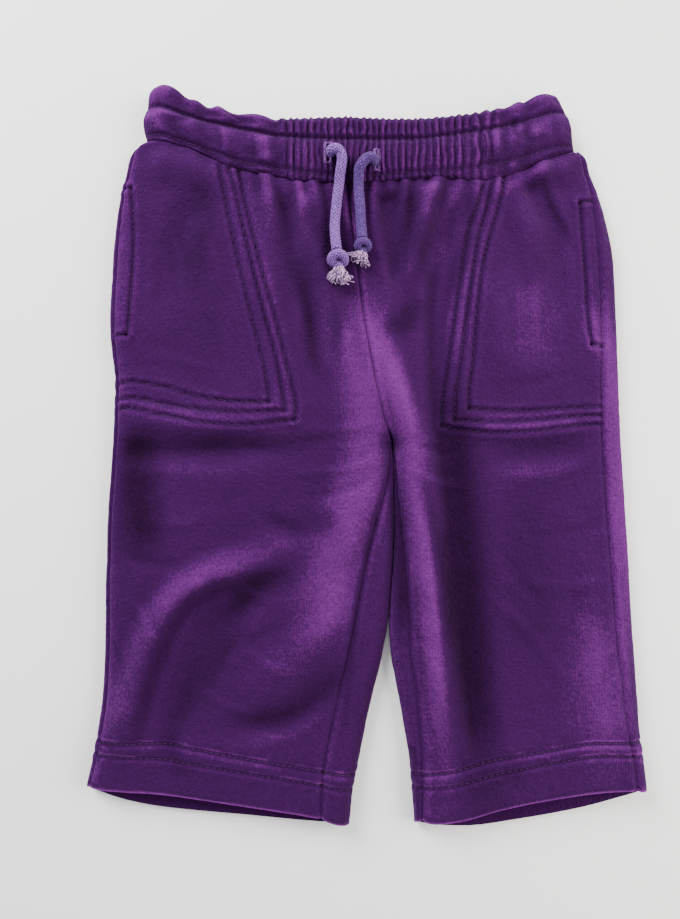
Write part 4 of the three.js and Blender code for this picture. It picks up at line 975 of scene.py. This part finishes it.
def band_x(line, x):
    to_right = ease(1 - (x - BAND_RIGHT) / END_BLEND)
    to_left = ease(1 - (BAND_LEFT - x) / END_BLEND)
    right_end = through(band_rows, "line", "right_end")(line)
    left_end = through(band_rows, "line", "left_end")(line)
    return x + (right_end - BAND_RIGHT) * to_right + (left_end - BAND_LEFT) * to_left


def from_end(x):
    return np.minimum(x - BAND_RIGHT, BAND_LEFT - x)


def gather_wave(count):
    uneven = 1 - 0.22 * (1 - np.sin(count * 2.3 + 1))
    return 0.5 * (1 - np.cos(2 * np.pi * count)) * uneven


def band_front(material):
    count = between((0, 0), (0.25, 6), (LAST_GATHER - 0.25, 700), (LAST_GATHER, 6))
    line = BAND_STEPS[:, None]
    at = np.broadcast_to(gather_place(count)[None, :], (len(BAND_STEPS), len(count)))
    x = band_x(line, at)
    drop = through(band_rows, "line", "drop")(line)
    wave = through(band_rows, "line", "wave")(line)
    wander = 0.16 * noise(count[None, :] * 3, line * 9, 2.6, 21)
    folded = gather_wave(count[None, :] + wander)
    sharp = folded ** 0.75 - folded
    frill = ease((1 - line) / 0.7)
    rise = gather_rise(count)[None, :]
    high = BAND_TOP_HEIGHT - drop + wave * rise * (folded + band_extra(count[None, :], line, folded, sharp))
    high = high + frill * 0.2 * (folded - 0.45) - BAND_END_HEIGHT
    z = BAND_END_HEIGHT + SEAM_GAP / 2 + high * arch(from_end(at) / BAND_ROUND)
    y = band_line_y(line, x) + gather_lobe(count)[None, :] * np.clip(1 - line, 0, 1) * (folded - 0.5)
    outer = np.stack([x, y, z], axis=-1)
    normal = normals_of(outer, -1)
    normal *= np.sign(normal[..., 2:].mean())
    detail = cloth_mottle(x, y, z) * 0.8 + band_grooves(x, y, line) + slit_dip(x, y)
    detail += 0.9 * np.sin(np.pi * np.clip(line - 2, 0, 1)) * (0.6 + 0.4 * folded)
    puffs = creases(puff_curves, x, y)
    detail += puffs
    outer = outer + normal * (detail * ease(from_end(at) / 3))[..., None]
    share = (at - BAND_RIGHT) / (BAND_LEFT - BAND_RIGHT)
    inner_at = lerp(BAND_RIGHT + BAND_END_THICK, BAND_LEFT - BAND_END_THICK, share)
    inward = arch((from_end(inner_at) - BAND_END_THICK) / (BAND_ROUND - BAND_END_THICK))
    inner_x = band_x(line, inner_at)
    inner_z = lerp(BAND_END_HEIGHT + SEAM_GAP / 2, through(BAND_INSIDE, "line", "z")(line), inward)
    inner_y = band_line_y(line, inner_x) + 0.6 * ease((line - 2) / 1)
    inner = np.stack(np.broadcast_arrays(inner_x, inner_y, inner_z), axis=-1)
    rows, columns = every(len(BAND_STEPS), 4), every(len(count), 6)
    obj = wall("waistband_front", outer, inner[np.ix_(rows, columns)], BAND_STEPS, count, BAND_STEPS[rows],
               count[columns], material, "velour", BAND_GATHER_PAINTED_LIGHT * (folded - 0.45) + PUFF_PAINTED_LIGHT * puffs)
    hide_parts("waistband_front")
    return obj


def band_back(material):
    count = between((0, 0), (0.25, 4), (LAST_GATHER - 0.25, 360), (LAST_GATHER, 4))
    line = between((0, 0), (1, 8), (1.5, 5), (3, 8))[:, None]
    share = (gather_place(count) - BAND_RIGHT) / (BAND_LEFT - BAND_RIGHT)

    def proud(at):
        return BACK_BAND_PROUD * np.clip(1 - line, 0, 1) * ease(from_end(at) / BACK_BAND_PROUD_RUN)

    at = lerp(BAND_RIGHT + BAND_END_THICK, BAND_LEFT - BAND_END_THICK, share)
    at = np.broadcast_to(at, (len(line), len(count)))
    x = band_x(line, at)
    inward = arch((from_end(at) - BAND_END_THICK) / BAND_UNDER_ROUND)
    thick = lerp(BAND_BACK_THICK, BAND_BACK_SEAM_THICK, ease((line - 1.5) / 1.5))
    thick = thick + 0.7 * through(band_rows, "line", "wave")(line) * gather_wave(count[None, :])
    frill = ease((1 - line) / 0.7)
    thick = thick + frill * 1.1 * gather_wave(count[None, :] + 0.3)
    z = lerp(BAND_END_HEIGHT - SEAM_GAP / 2, thick, inward)
    upper = np.stack([x, band_line_y(line, x) + proud(at), z], axis=-1)
    under_at = np.broadcast_to(gather_place(count)[None, :], at.shape)
    under_x = band_x(line, under_at)
    under_z = (BAND_END_HEIGHT - SEAM_GAP / 2) * (1 - arch(from_end(under_at) / BAND_UNDER_ROUND))
    under_z = under_z + 0.5 * gather_wave(count[None, :]) * arch(from_end(under_at) / BAND_UNDER_ROUND)
    under = np.stack([under_x, band_line_y(line, under_x) + proud(under_at), under_z], axis=-1)
    obj = wall("waistband_back", upper, under, line[:, 0], count, line[:, 0], count, material, "velour")
    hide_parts("waistband_back")
    return obj


def catmull(points, count):
    """Evenly spaced points along a smooth curve through a route."""
    dense = spline(points, 40 * (len(points) - 1))
    steps = np.concatenate([[0], np.cumsum(np.linalg.norm(np.diff(dense, axis=0), axis=1))])
    at = np.linspace(0, steps[-1], count)
    return np.stack([np.interp(at, steps, dense[:, k]) for k in range(dense.shape[1])], axis=-1), steps[-1]


def frames_along(path):
    """Two directions across a path at each point, carried along it without twist."""
    way = np.gradient(path, axis=0)
    way /= np.linalg.norm(way, axis=1, keepdims=True)
    side = np.zeros(path.shape)
    start = np.cross(way[0], [0, 0, 1.0])
    if np.linalg.norm(start) < 0.1:
        start = np.cross(way[0], [0, 1.0, 0])
    for i, direction in enumerate(way):
        start = start - direction * np.dot(start, direction)
        start = start / np.linalg.norm(start)
        side[i] = start
    return way, side, np.cross(way, side)


def tube(path, radius, around):
    """Points and faces of a tube whose radius may vary along (rows) and around (columns)."""
    _, side, up = frames_along(path)
    turn = np.linspace(0, 2 * np.pi, around, endpoint=False)
    radius = np.broadcast_to(radius, (len(path), around))
    ring = side[:, None] * np.cos(turn)[None, :, None] + up[:, None] * np.sin(turn)[None, :, None]
    points = (path[:, None] + ring * radius[..., None]).reshape(-1, 3)
    at = np.arange(len(path) * around).reshape(len(path), around)
    following = np.roll(at, -1, axis=1)
    quads = np.stack([at[:-1], following[:-1], following[1:], at[1:]], axis=-1).reshape(-1, 4)
    ends = np.array([path[0], path[-1]])
    first, last = len(points), len(points) + 1
    caps = [(first, following[0, k], at[0, k]) for k in range(around)]
    caps += [(last, at[-1, k], following[-1, k]) for k in range(around)]
    return np.vstack([points, ends]), quads, caps


def joined(parts):
    """Several (points, quads, triangles) as one."""
    points, quads, triangles, count = [], [], [], 0
    for p, q, t in parts:
        points.append(p)
        quads.append(np.asarray(q) + count)
        triangles.append(np.asarray(t) + count)
        count += len(p)
    return np.vstack(points), np.vstack(quads), np.vstack(triangles)


CORD_DIAMETER = 5.2
CORD_STRANDS = 9
STRAND_STEP = 1.7
CORD_AROUND = 63
CORD_STEPS = 330
KNOT_STEPS = 240
YARN_AROUND = 6


def braid(along, turn):
    """Height of a round braid, from 0 to 1: two sets of strands that pass over and under each other."""
    phase = 2 * np.pi * along / STRAND_STEP
    a = CORD_STRANDS * turn + phase
    b = CORD_STRANDS * turn - phase
    over = 0.5 + 0.5 * np.tanh(2.2 * np.sin(0.5 * (a + b)) * np.sin(0.5 * (a - b) + 0.6))
    ridge_a = np.abs(np.cos(0.5 * a)) ** 0.8
    ridge_b = np.abs(np.cos(0.5 * b)) ** 0.8
    return np.maximum(ridge_a * (0.62 + 0.38 * over), ridge_b * (1 - 0.38 * over))


def braided_tube(path, length, radius):
    """A braided tube, and the height of its braid as the tone of each point, for painted shade between the
    strands.
    """
    along = np.linspace(0, length, len(path))[:, None]
    turn = np.linspace(0, 2 * np.pi, CORD_AROUND, endpoint=False)[None, :]
    height = braid(along + 0.15 * np.sin(along), turn)
    points, quads, caps = tube(path, radius * (0.84 + 0.18 * height), CORD_AROUND)
    return points, quads, caps, np.append(height.ravel(), [0.5, 0.5])


CORD_ROUTES = {
    "right": (
        (-17.6, 146.3, 13.2), (-17.2, 146.5, 16.7), (-16.0, 146.7, 17.8), (-14.6, 146.5, 17.9),
        (-13.0, 145.4, 17.6), (-12.1, 143.2, 17.3), (-12.0, 141.6, 16.9), (-12.5, 138.1, 15.9),
        (-13.1, 134.6, 14.5), (-13.5, 130.8, 13.2), (-14.0, 127.5, 12.7), (-14.5, 122.7, 12.6),
        (-15.1, 117.4, 12.5), (-15.5, 112.4, 12.5), (-15.5, 107.4, 12.9), (-15.1, 102.4, 14.1),
        (-14.5, 96.9, 16.0),
    ),
    "left": (
        (3.8, 142.3, 13.2), (3.4, 142.4, 16.2), (2.2, 142.7, 17.3), (0.8, 142.4, 17.3),
        (-1.3, 141.1, 17.2), (-2.9, 138.9, 16.6), (-3.6, 137.6, 15.9), (-3.8, 134.0, 14.0),
        (-3.8, 130.0, 12.9), (-3.5, 125.0, 12.8), (-3.1, 120.4, 12.7), (-2.8, 114.9, 12.5),
        (-2.4, 109.4, 12.6), (-2.0, 103.6, 13.6),
    ),
}
# The knot's one turn round the cord: how far on, how far across, and how high.
KNOT_ROUTE = (
    (-2.0, 0.0, 0.0), (0.8, 0.2, -0.5), (3.8, 0.8, -1.3), (5.8, 2.4, -0.9), (5.0, 3.2, 0.4),
    (3.4, 2.6, 1.9), (2.4, 0.3, 2.6), (2.9, -2.2, 2.0), (4.6, -3.2, 0.4), (6.0, -1.8, -0.8),
    (7.2, 0.0, -0.4), (8.4, 0.1, 0.0),
)
# A cord's tone is painted shade on its braid and knot: slight on the right cord, deep on the left one, which
# lies in a fold's shade.
KNOTS = {
    "right": {"turn": 0.05, "size": 1.0, "radius": 2.3, "drop": 0.5, "tone": -0.05},
    "left": {"turn": -0.6, "size": 0.8, "radius": 1.95, "drop": 0.2, "tone": -0.34},
}
FRAY_YARNS = 46
FRAY_FROM = 8.4
FRAY_STEPS = 14


def knot_frame(route):
    end, before = np.array(route[-1]), np.array(route[-2])
    way = (end - before) * [1, 1, 0]
    way /= np.linalg.norm(way)
    return end, way, np.array([-way[1], way[0], 0.0])


def drawstring(side, material, yarn):
    """The cord's free end, its knot, and the frayed tuft beyond it."""
    route = CORD_ROUTES[side]
    shape = KNOTS[side]
    path, length = catmull(route, CORD_STEPS)
    *form, tone = braided_tube(path, length, CORD_DIAMETER / 2)
    cord = make_mesh("drawstring_" + side, *form, material, "cord", tone + shape["tone"])
    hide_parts("drawstring_" + side)
    end, way, over = knot_frame(route)
    size = shape["size"]
    low_end = end - np.array([0, 0, shape["drop"]])
    knot_points = [low_end + size * (way * on + over * across + [0, 0, up]) for on, across, up in KNOT_ROUTE]
    knot_path, knot_length = catmull(knot_points, KNOT_STEPS)
    *form, tone = braided_tube(knot_path, knot_length, shape["radius"])
    knot = make_mesh("knot_" + side, *form, material, "cord", tone + shape["tone"])
    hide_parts("knot_" + side)
    turned = way * math.cos(shape["turn"]) + over * math.sin(shape["turn"])
    beside_way = over * math.cos(shape["turn"]) - way * math.sin(shape["turn"])
    start = low_end + size * way * FRAY_FROM
    fray = frayed_end("fray_" + side, start, turned, beside_way, size, yarn)


def frayed_end(name, start, way, over, size, material):
    """Loose yarns that fan out and curl from the cord's cut end."""
    parts = []
    up = np.array([0, 0, 1.0])
    steps = np.linspace(0, 1, FRAY_STEPS)[:, None]
    thick = size * np.linspace(0.44, 0.3, FRAY_STEPS)[:, None]
    for _ in range(FRAY_YARNS):
        turn, out = rng.uniform(0, 2 * np.pi), math.sqrt(rng.uniform(0, 1)) * 2.4
        fan = 0.26 * out * math.cos(turn) + rng.normal(0, 0.26)
        rise = 0.1 * out * math.sin(turn) + rng.normal(0.0, 0.1)
        length = rng.uniform(4.6, 8.8) * (1 - 0.25 * abs(fan))
        curl, turns, phase = rng.uniform(0.8, 1.9), rng.uniform(0.9, 2.1), rng.uniform(0, 2 * np.pi)
        root = start + size * out * (over * math.cos(turn) + up * math.sin(turn))
        swing = phase + 2 * np.pi * turns * steps
        wave = curl * steps * (over * np.cos(swing) + up * np.sin(swing)) - 0.9 * up * steps ** 2
        path = root + size * ((way + over * fan + up * rise) * length * steps + wave)
        parts.append(tube(path, thick, YARN_AROUND))
    return make_mesh(name, *joined(parts), material, "cord")


STITCH_SINK = 0.12
# The bow and the thickness of one stitch at its five points, as shares of the thread's.
STITCH_BOW = np.array([-0.36, 0.32, 0.52, 0.32, -0.36])
STITCH_TAPER = np.array([0.55, 0.95, 1.0, 0.95, 0.55])
ABOVE_ALL = 60


def cloth_under(tree, x, y):
    """The place on the cloth straight under a point, or None beside it."""
    return tree.ray_cast(Vector((x, y, ABOVE_ALL)), Vector((0, 0, -1)))[0]


def stitch_parts(tree, line, length, gap, thick):
    """Short raised threads along a line, each laid on the cloth that the tree holds."""
    parts = []
    dense = np.asarray(line, float)
    steps = np.concatenate([[0], np.cumsum(np.linalg.norm(np.diff(dense, axis=0), axis=1))])
    at = 0.0
    while at + length < steps[-1]:
        own = length * rng.uniform(0.9, 1.08)
        places = np.linspace(at, at + own, len(STITCH_BOW))
        xs, ys = (np.interp(places, steps, dense[:, k]) for k in range(2))
        hits = [cloth_under(tree, x, y) for x, y in zip(xs, ys)]
        if None not in hits:
            path = np.array([tuple(hit) for hit in hits])
            path[:, 2] += thick * (STITCH_BOW + 0.5) - STITCH_SINK
            parts.append(tube(path, thick * STITCH_TAPER[:, None], YARN_AROUND))
        at += own + gap
    return parts


def tree_of(objects):
    points, faces = [], []
    for obj in objects:
        first = len(points)
        points += [tuple(c / MM for c in v.co) for v in obj.data.vertices]
        faces += [[first + i for i in p.vertices] for p in obj.data.polygons]
    return BVHTree.FromPolygons(points, faces)


def satin_stitch(tree, x_from, x_to, y, thick):
    """One short thread across, raised in the middle and let in at both ends."""
    rises = (-0.2, 0.3, 0.5, 0.3, -0.2)
    places = np.linspace(x_from, x_to, len(rises))
    return tube(np.array([(x, y, cloth_under(tree, x, y).z + up) for x, up in zip(places, rises)]), thick, 5)


def buttonhole(tree, x, y, half_long):
    """Close stitches down both lips of an upright slit, and a bar at each end."""
    parts = []
    for up in np.arange(-half_long, half_long, 0.4):
        parts.append(satin_stitch(tree, x - LIP_OUT, x - LIP_IN, y + up, 0.25))
        parts.append(satin_stitch(tree, x + LIP_IN, x + LIP_OUT, y + up, 0.25))
    for up in (-half_long - 0.5, -half_long - 0.1, half_long + 0.1, half_long + 0.5):
        parts.append(satin_stitch(tree, x - LIP_OUT, x + LIP_OUT, y + up, 0.27))
    return parts


# The two upright buttonholes that the cord comes out of: middle and half length. Lips lie beside the slit.
BUTTONHOLES = ((-18.9, 146.7, 4.7), (5.1, 143.2, 4.5))
LIP_IN = 0.3
LIP_OUT = 2.0
SLIT_DEPTH = 1.8


def set_inputs(node, values):
    for socket, value in values.items():
        node.inputs[socket].default_value = value


def new_material(name, surface):
    """A material with the surface's values, and its nodes, links and surface node."""
    material = bpy.data.materials.new(name)
    material.use_nodes = True
    nodes, links = material.node_tree.nodes, material.node_tree.links
    bsdf = nodes["Principled BSDF"]
    set_inputs(bsdf, surface)
    return material, nodes, links, bsdf


# Fine upright knit ribs of the velour.
RIBS = {"Scale": 260, "Distortion": 5.0, "Detail": 2, "Detail Scale": 1.4}


def velour(name, colour, dark, bright, sheen):
    """Pile cloth, darker by painted shade in the troughs and brighter by painted highlights on crests, with
    a fine uneven pile.
    """
    material, nodes, links, bsdf = new_material(name, {
        "Roughness": 0.92, "Specular IOR Level": 0.03,
        "Sheen Weight": sheen, "Sheen Roughness": 0.42, "Sheen Tint": (0.62, 0.22, 0.85, 1),
    })
    place = nodes.new("ShaderNodeTexCoord")

    def cloud(scale, detail):
        node = nodes.new("ShaderNodeTexNoise")
        set_inputs(node, {"Scale": scale, "Detail": detail, "Roughness": 0.6})
        links.new(place.outputs["Object"], node.inputs["Vector"])
        return node.outputs["Fac"]

    def combine(operation, a, b):
        node = nodes.new("ShaderNodeMath")
        node.operation = operation
        for socket, value in zip(node.inputs, (a, b)):
            if isinstance(value, (int, float)):
                socket.default_value = value
            else:
                links.new(value, socket)
        return node.outputs[0]

    # Each point's painted light and shade moves the colour between the ramp's painted shade and painted
    # highlight.
    crest = nodes.new("ShaderNodeAttribute")
    crest.attribute_name = "painted_light"
    ribs = nodes.new("ShaderNodeTexWave")
    ribs.bands_direction = "X"
    set_inputs(ribs, RIBS)
    links.new(place.outputs["Object"], ribs.inputs["Vector"])
    brushed, patchy, grain = cloud(120, 3), cloud(22, 2), cloud(820, 2)
    shade = combine("ADD", combine("MULTIPLY", crest.outputs["Fac"], 0.52), 0.43)
    for part, share in ((brushed, 0.1), (patchy, 0.16), (grain, 0.38), (ribs.outputs["Fac"], 0.05)):
        shade = combine("ADD", shade, combine("MULTIPLY", combine("SUBTRACT", part, 0.5), share))
    colours = nodes.new("ShaderNodeValToRGB")
    colours.color_ramp.elements[0].color = (*dark, 1)
    colours.color_ramp.elements[1].color = (*bright, 1)
    middle = colours.color_ramp.elements.new(0.5)
    middle.color = (*colour, 1)
    links.new(shade, colours.inputs["Fac"])
    links.new(colours.outputs["Color"], bsdf.inputs["Base Color"])
    bump = nodes.new("ShaderNodeBump")
    set_inputs(bump, {"Strength": 0.8, "Distance": 0.0008})
    pile = combine("ADD", cloud(800, 3), combine("MULTIPLY", cloud(300, 2), 1.2))
    links.new(combine("ADD", pile, combine("MULTIPLY", ribs.outputs["Fac"], 0.12)), bump.inputs["Height"])
    links.new(bump.outputs["Normal"], bsdf.inputs["Normal"])
    return material


def thread(name, dark, bright, scale, sheen, crevice_painted_shade=0.0):
    """Twisted cotton yarn, a little uneven in colour, with painted shade in each crevice between its strands
    when asked.
    """
    material, nodes, links, bsdf = new_material(name, {
        "Roughness": 0.8, "Specular IOR Level": 0.2, "Sheen Weight": sheen, "Sheen Roughness": 0.5,
    })
    place = nodes.new("ShaderNodeTexCoord")
    cloud = nodes.new("ShaderNodeTexNoise")
    set_inputs(cloud, {"Scale": scale, "Detail": 3})
    links.new(place.outputs["Object"], cloud.inputs["Vector"])
    colours = nodes.new("ShaderNodeValToRGB")
    colours.color_ramp.elements[0].position = 0.3
    colours.color_ramp.elements[0].color = (*dark, 1)
    colours.color_ramp.elements[1].position = 0.72
    colours.color_ramp.elements[1].color = (*bright, 1)
    if crevice_painted_shade:
        height = nodes.new("ShaderNodeAttribute")
        height.attribute_name = "painted_light"
        centred = nodes.new("ShaderNodeMath")
        centred.operation = "SUBTRACT"
        centred.inputs[1].default_value = 0.62
        links.new(height.outputs["Fac"], centred.inputs[0])
        mixed = nodes.new("ShaderNodeMath")
        mixed.operation = "MULTIPLY_ADD"
        mixed.inputs[1].default_value = crevice_painted_shade
        links.new(centred.outputs[0], mixed.inputs[0])
        links.new(cloud.outputs["Fac"], mixed.inputs[2])
        links.new(mixed.outputs[0], colours.inputs["Fac"])
    else:
        links.new(cloud.outputs["Fac"], colours.inputs["Fac"])
    links.new(colours.outputs["Color"], bsdf.inputs["Base Color"])
    bump = nodes.new("ShaderNodeBump")
    set_inputs(bump, {"Strength": 0.5, "Distance": 0.0002})
    links.new(cloud.outputs["Fac"], bump.inputs["Height"])
    links.new(bump.outputs["Normal"], bsdf.inputs["Normal"])
    return material


def set_camera():
    """The photo's view: almost straight above, from a little towards the hems."""
    tilt, distance = math.radians(2.69), 0.347
    target = Vector((-0.012984, -0.004373, 0))
    data = bpy.data.cameras.new("camera")
    data.lens = 27
    data.sensor_width = 36
    data.clip_start = 0.01
    camera = bpy.data.objects.new("camera", data)
    camera.location = target + Vector((0, -distance * math.sin(tilt), distance * math.cos(tilt)))
    camera.rotation_euler = (tilt, 0, 0)
    bpy.context.scene.collection.objects.link(camera)
    bpy.context.scene.camera = camera


def add_light(name, place, size, power, colour):
    data = bpy.data.lights.new(name, "AREA")
    data.size = size
    data.energy = power
    data.color = colour
    light = bpy.data.objects.new(name, data)
    light.location = place
    light.rotation_euler = (-Vector(place)).to_track_quat("-Z", "Y").to_euler()
    bpy.context.scene.collection.objects.link(light)


def set_stage():
    """A plain pale floor and soft light: cool from the upper left, warmer and weaker from the right."""
    half, height = 3.0, -0.0001
    mesh = bpy.data.meshes.new("floor")
    corners = [(half * x, half * y, height) for x, y in ((-1, -1), (1, -1), (1, 1), (-1, 1))]
    mesh.from_pydata(corners, [], [(0, 1, 2, 3)])
    material, *_ = new_material("floor", {"Base Color": (0.93, 0.92, 0.9, 1), "Roughness": 0.7})
    mesh.materials.append(material)
    floor = bpy.data.objects.new("floor", mesh)
    bpy.context.scene.collection.objects.link(floor)
    add_light("key", (-0.62, 0.72, 0.62), 0.55, 29, (0.97, 0.985, 1.0))
    add_light("fill", (0.75, 0.1, 0.45), 0.7, 18, (1.0, 0.95, 0.9))
    world = bpy.data.worlds.new("world")
    world.use_nodes = True
    set_inputs(world.node_tree.nodes["Background"], {"Color": (0.92, 0.95, 1.0, 1), "Strength": 0.76})
    bpy.context.scene.world = world


set_camera()
cord_yarn = thread("cord", (0.04, 0.013, 0.095), (0.26, 0.108, 0.42), 1500, sheen=0.08, crevice_painted_shade=0.8)
fray_yarn = thread("frayed_yarn", (0.13, 0.05, 0.18), (0.56, 0.37, 0.56), 900, sheen=0.1)
drawstring("right", cord_yarn, fray_yarn)
drawstring("left", cord_yarn, fray_yarn)

# The velour's colours run from a painted shade colour, through its own colour, to a painted highlight.
painted_shade_colour = (0.0085, 0.0012, 0.0115)
cloth_material = velour("velour", (0.031, 0.0042, 0.048), painted_shade_colour, (0.155, 0.0255, 0.19), 0.17)
# The pocket bag's velour is a slightly darker copy of the cloth: painted shade, where it lies inside under
# the front.
bag_material = velour("pocket_velour", (0.029, 0.004, 0.045), painted_shade_colour, (0.145, 0.024, 0.18), 0.17)
panels = {}
for leg_side in ("right", "left"):
    panels["front_" + leg_side] = front_panel(leg_side, cloth_material)
    panels["back_" + leg_side] = back_panel(leg_side, cloth_material)
panels["waistband_front"] = band_front(cloth_material)
panels["waistband_back"] = band_back(cloth_material)
panels["pocket_bag_right"] = pocket_bag("right", -63, -36, bag_material)
panels["pocket_bag_left"] = pocket_bag("left", 58, 38, bag_material)

sewing = thread("sewing", (0.012, 0.002, 0.018), (0.05, 0.010, 0.075), 1400, sheen=0.0)
satin = thread("satin_stitching", (0.06, 0.014, 0.09), (0.19, 0.07, 0.26), 900, sheen=0.0)
front_tree = tree_of([panels[name] for name in ("front_right", "front_left", "back_right", "back_left")])
band_tree = tree_of([panels["waistband_front"]])


# How far the hem's stitching runs from side to side, and where the band's starts from its ends.
HEM_LINE_RUN = {"right": (-133, -5), "left": (23, 134)}
BAND_LINE_INSET = 1.5


def stitching():
    """All the raised threads, by the cut piece that they are sewn on."""
    sewn = {}
    for side, curves in POCKET_CURVES.items():
        parts = [part for curve in curves for part in stitch_parts(front_tree, curve, 2.1, 0.6, 0.17)]
        pocket = make_mesh("pocket_stitching_" + side, *joined(parts), sewing, "velour")
        parts = []
        for line_at in (hem_top_at, hem_low_at):
            parts += stitch_parts(front_tree, hem_curve(line_at, *HEM_LINE_RUN[side]), 2.3, 0.65, 0.22)
        hem = make_mesh("hem_stitching_" + side, *joined(parts), sewing, "velour")
        sewn["front_" + side] = [pocket, hem]
    parts = []
    for line_at in (band_mid, band_low):
        x = np.linspace(BAND_RIGHT + BAND_LINE_INSET, BAND_LEFT - BAND_LINE_INSET, 160)
        parts += stitch_parts(band_tree, np.stack([x, line_at(x)], axis=-1), 2.0, 0.7, 0.22)
    lines = make_mesh("waistband_stitching", *joined(parts), sewing, "velour")
    parts = [part for place in BUTTONHOLES for part in buttonhole(band_tree, *place)]
    holes = make_mesh("buttonholes", *joined(parts), satin, "velour")
    sewn["waistband_front"] = [lines, holes]
    return sewn


sewn = stitching()
set_stage()
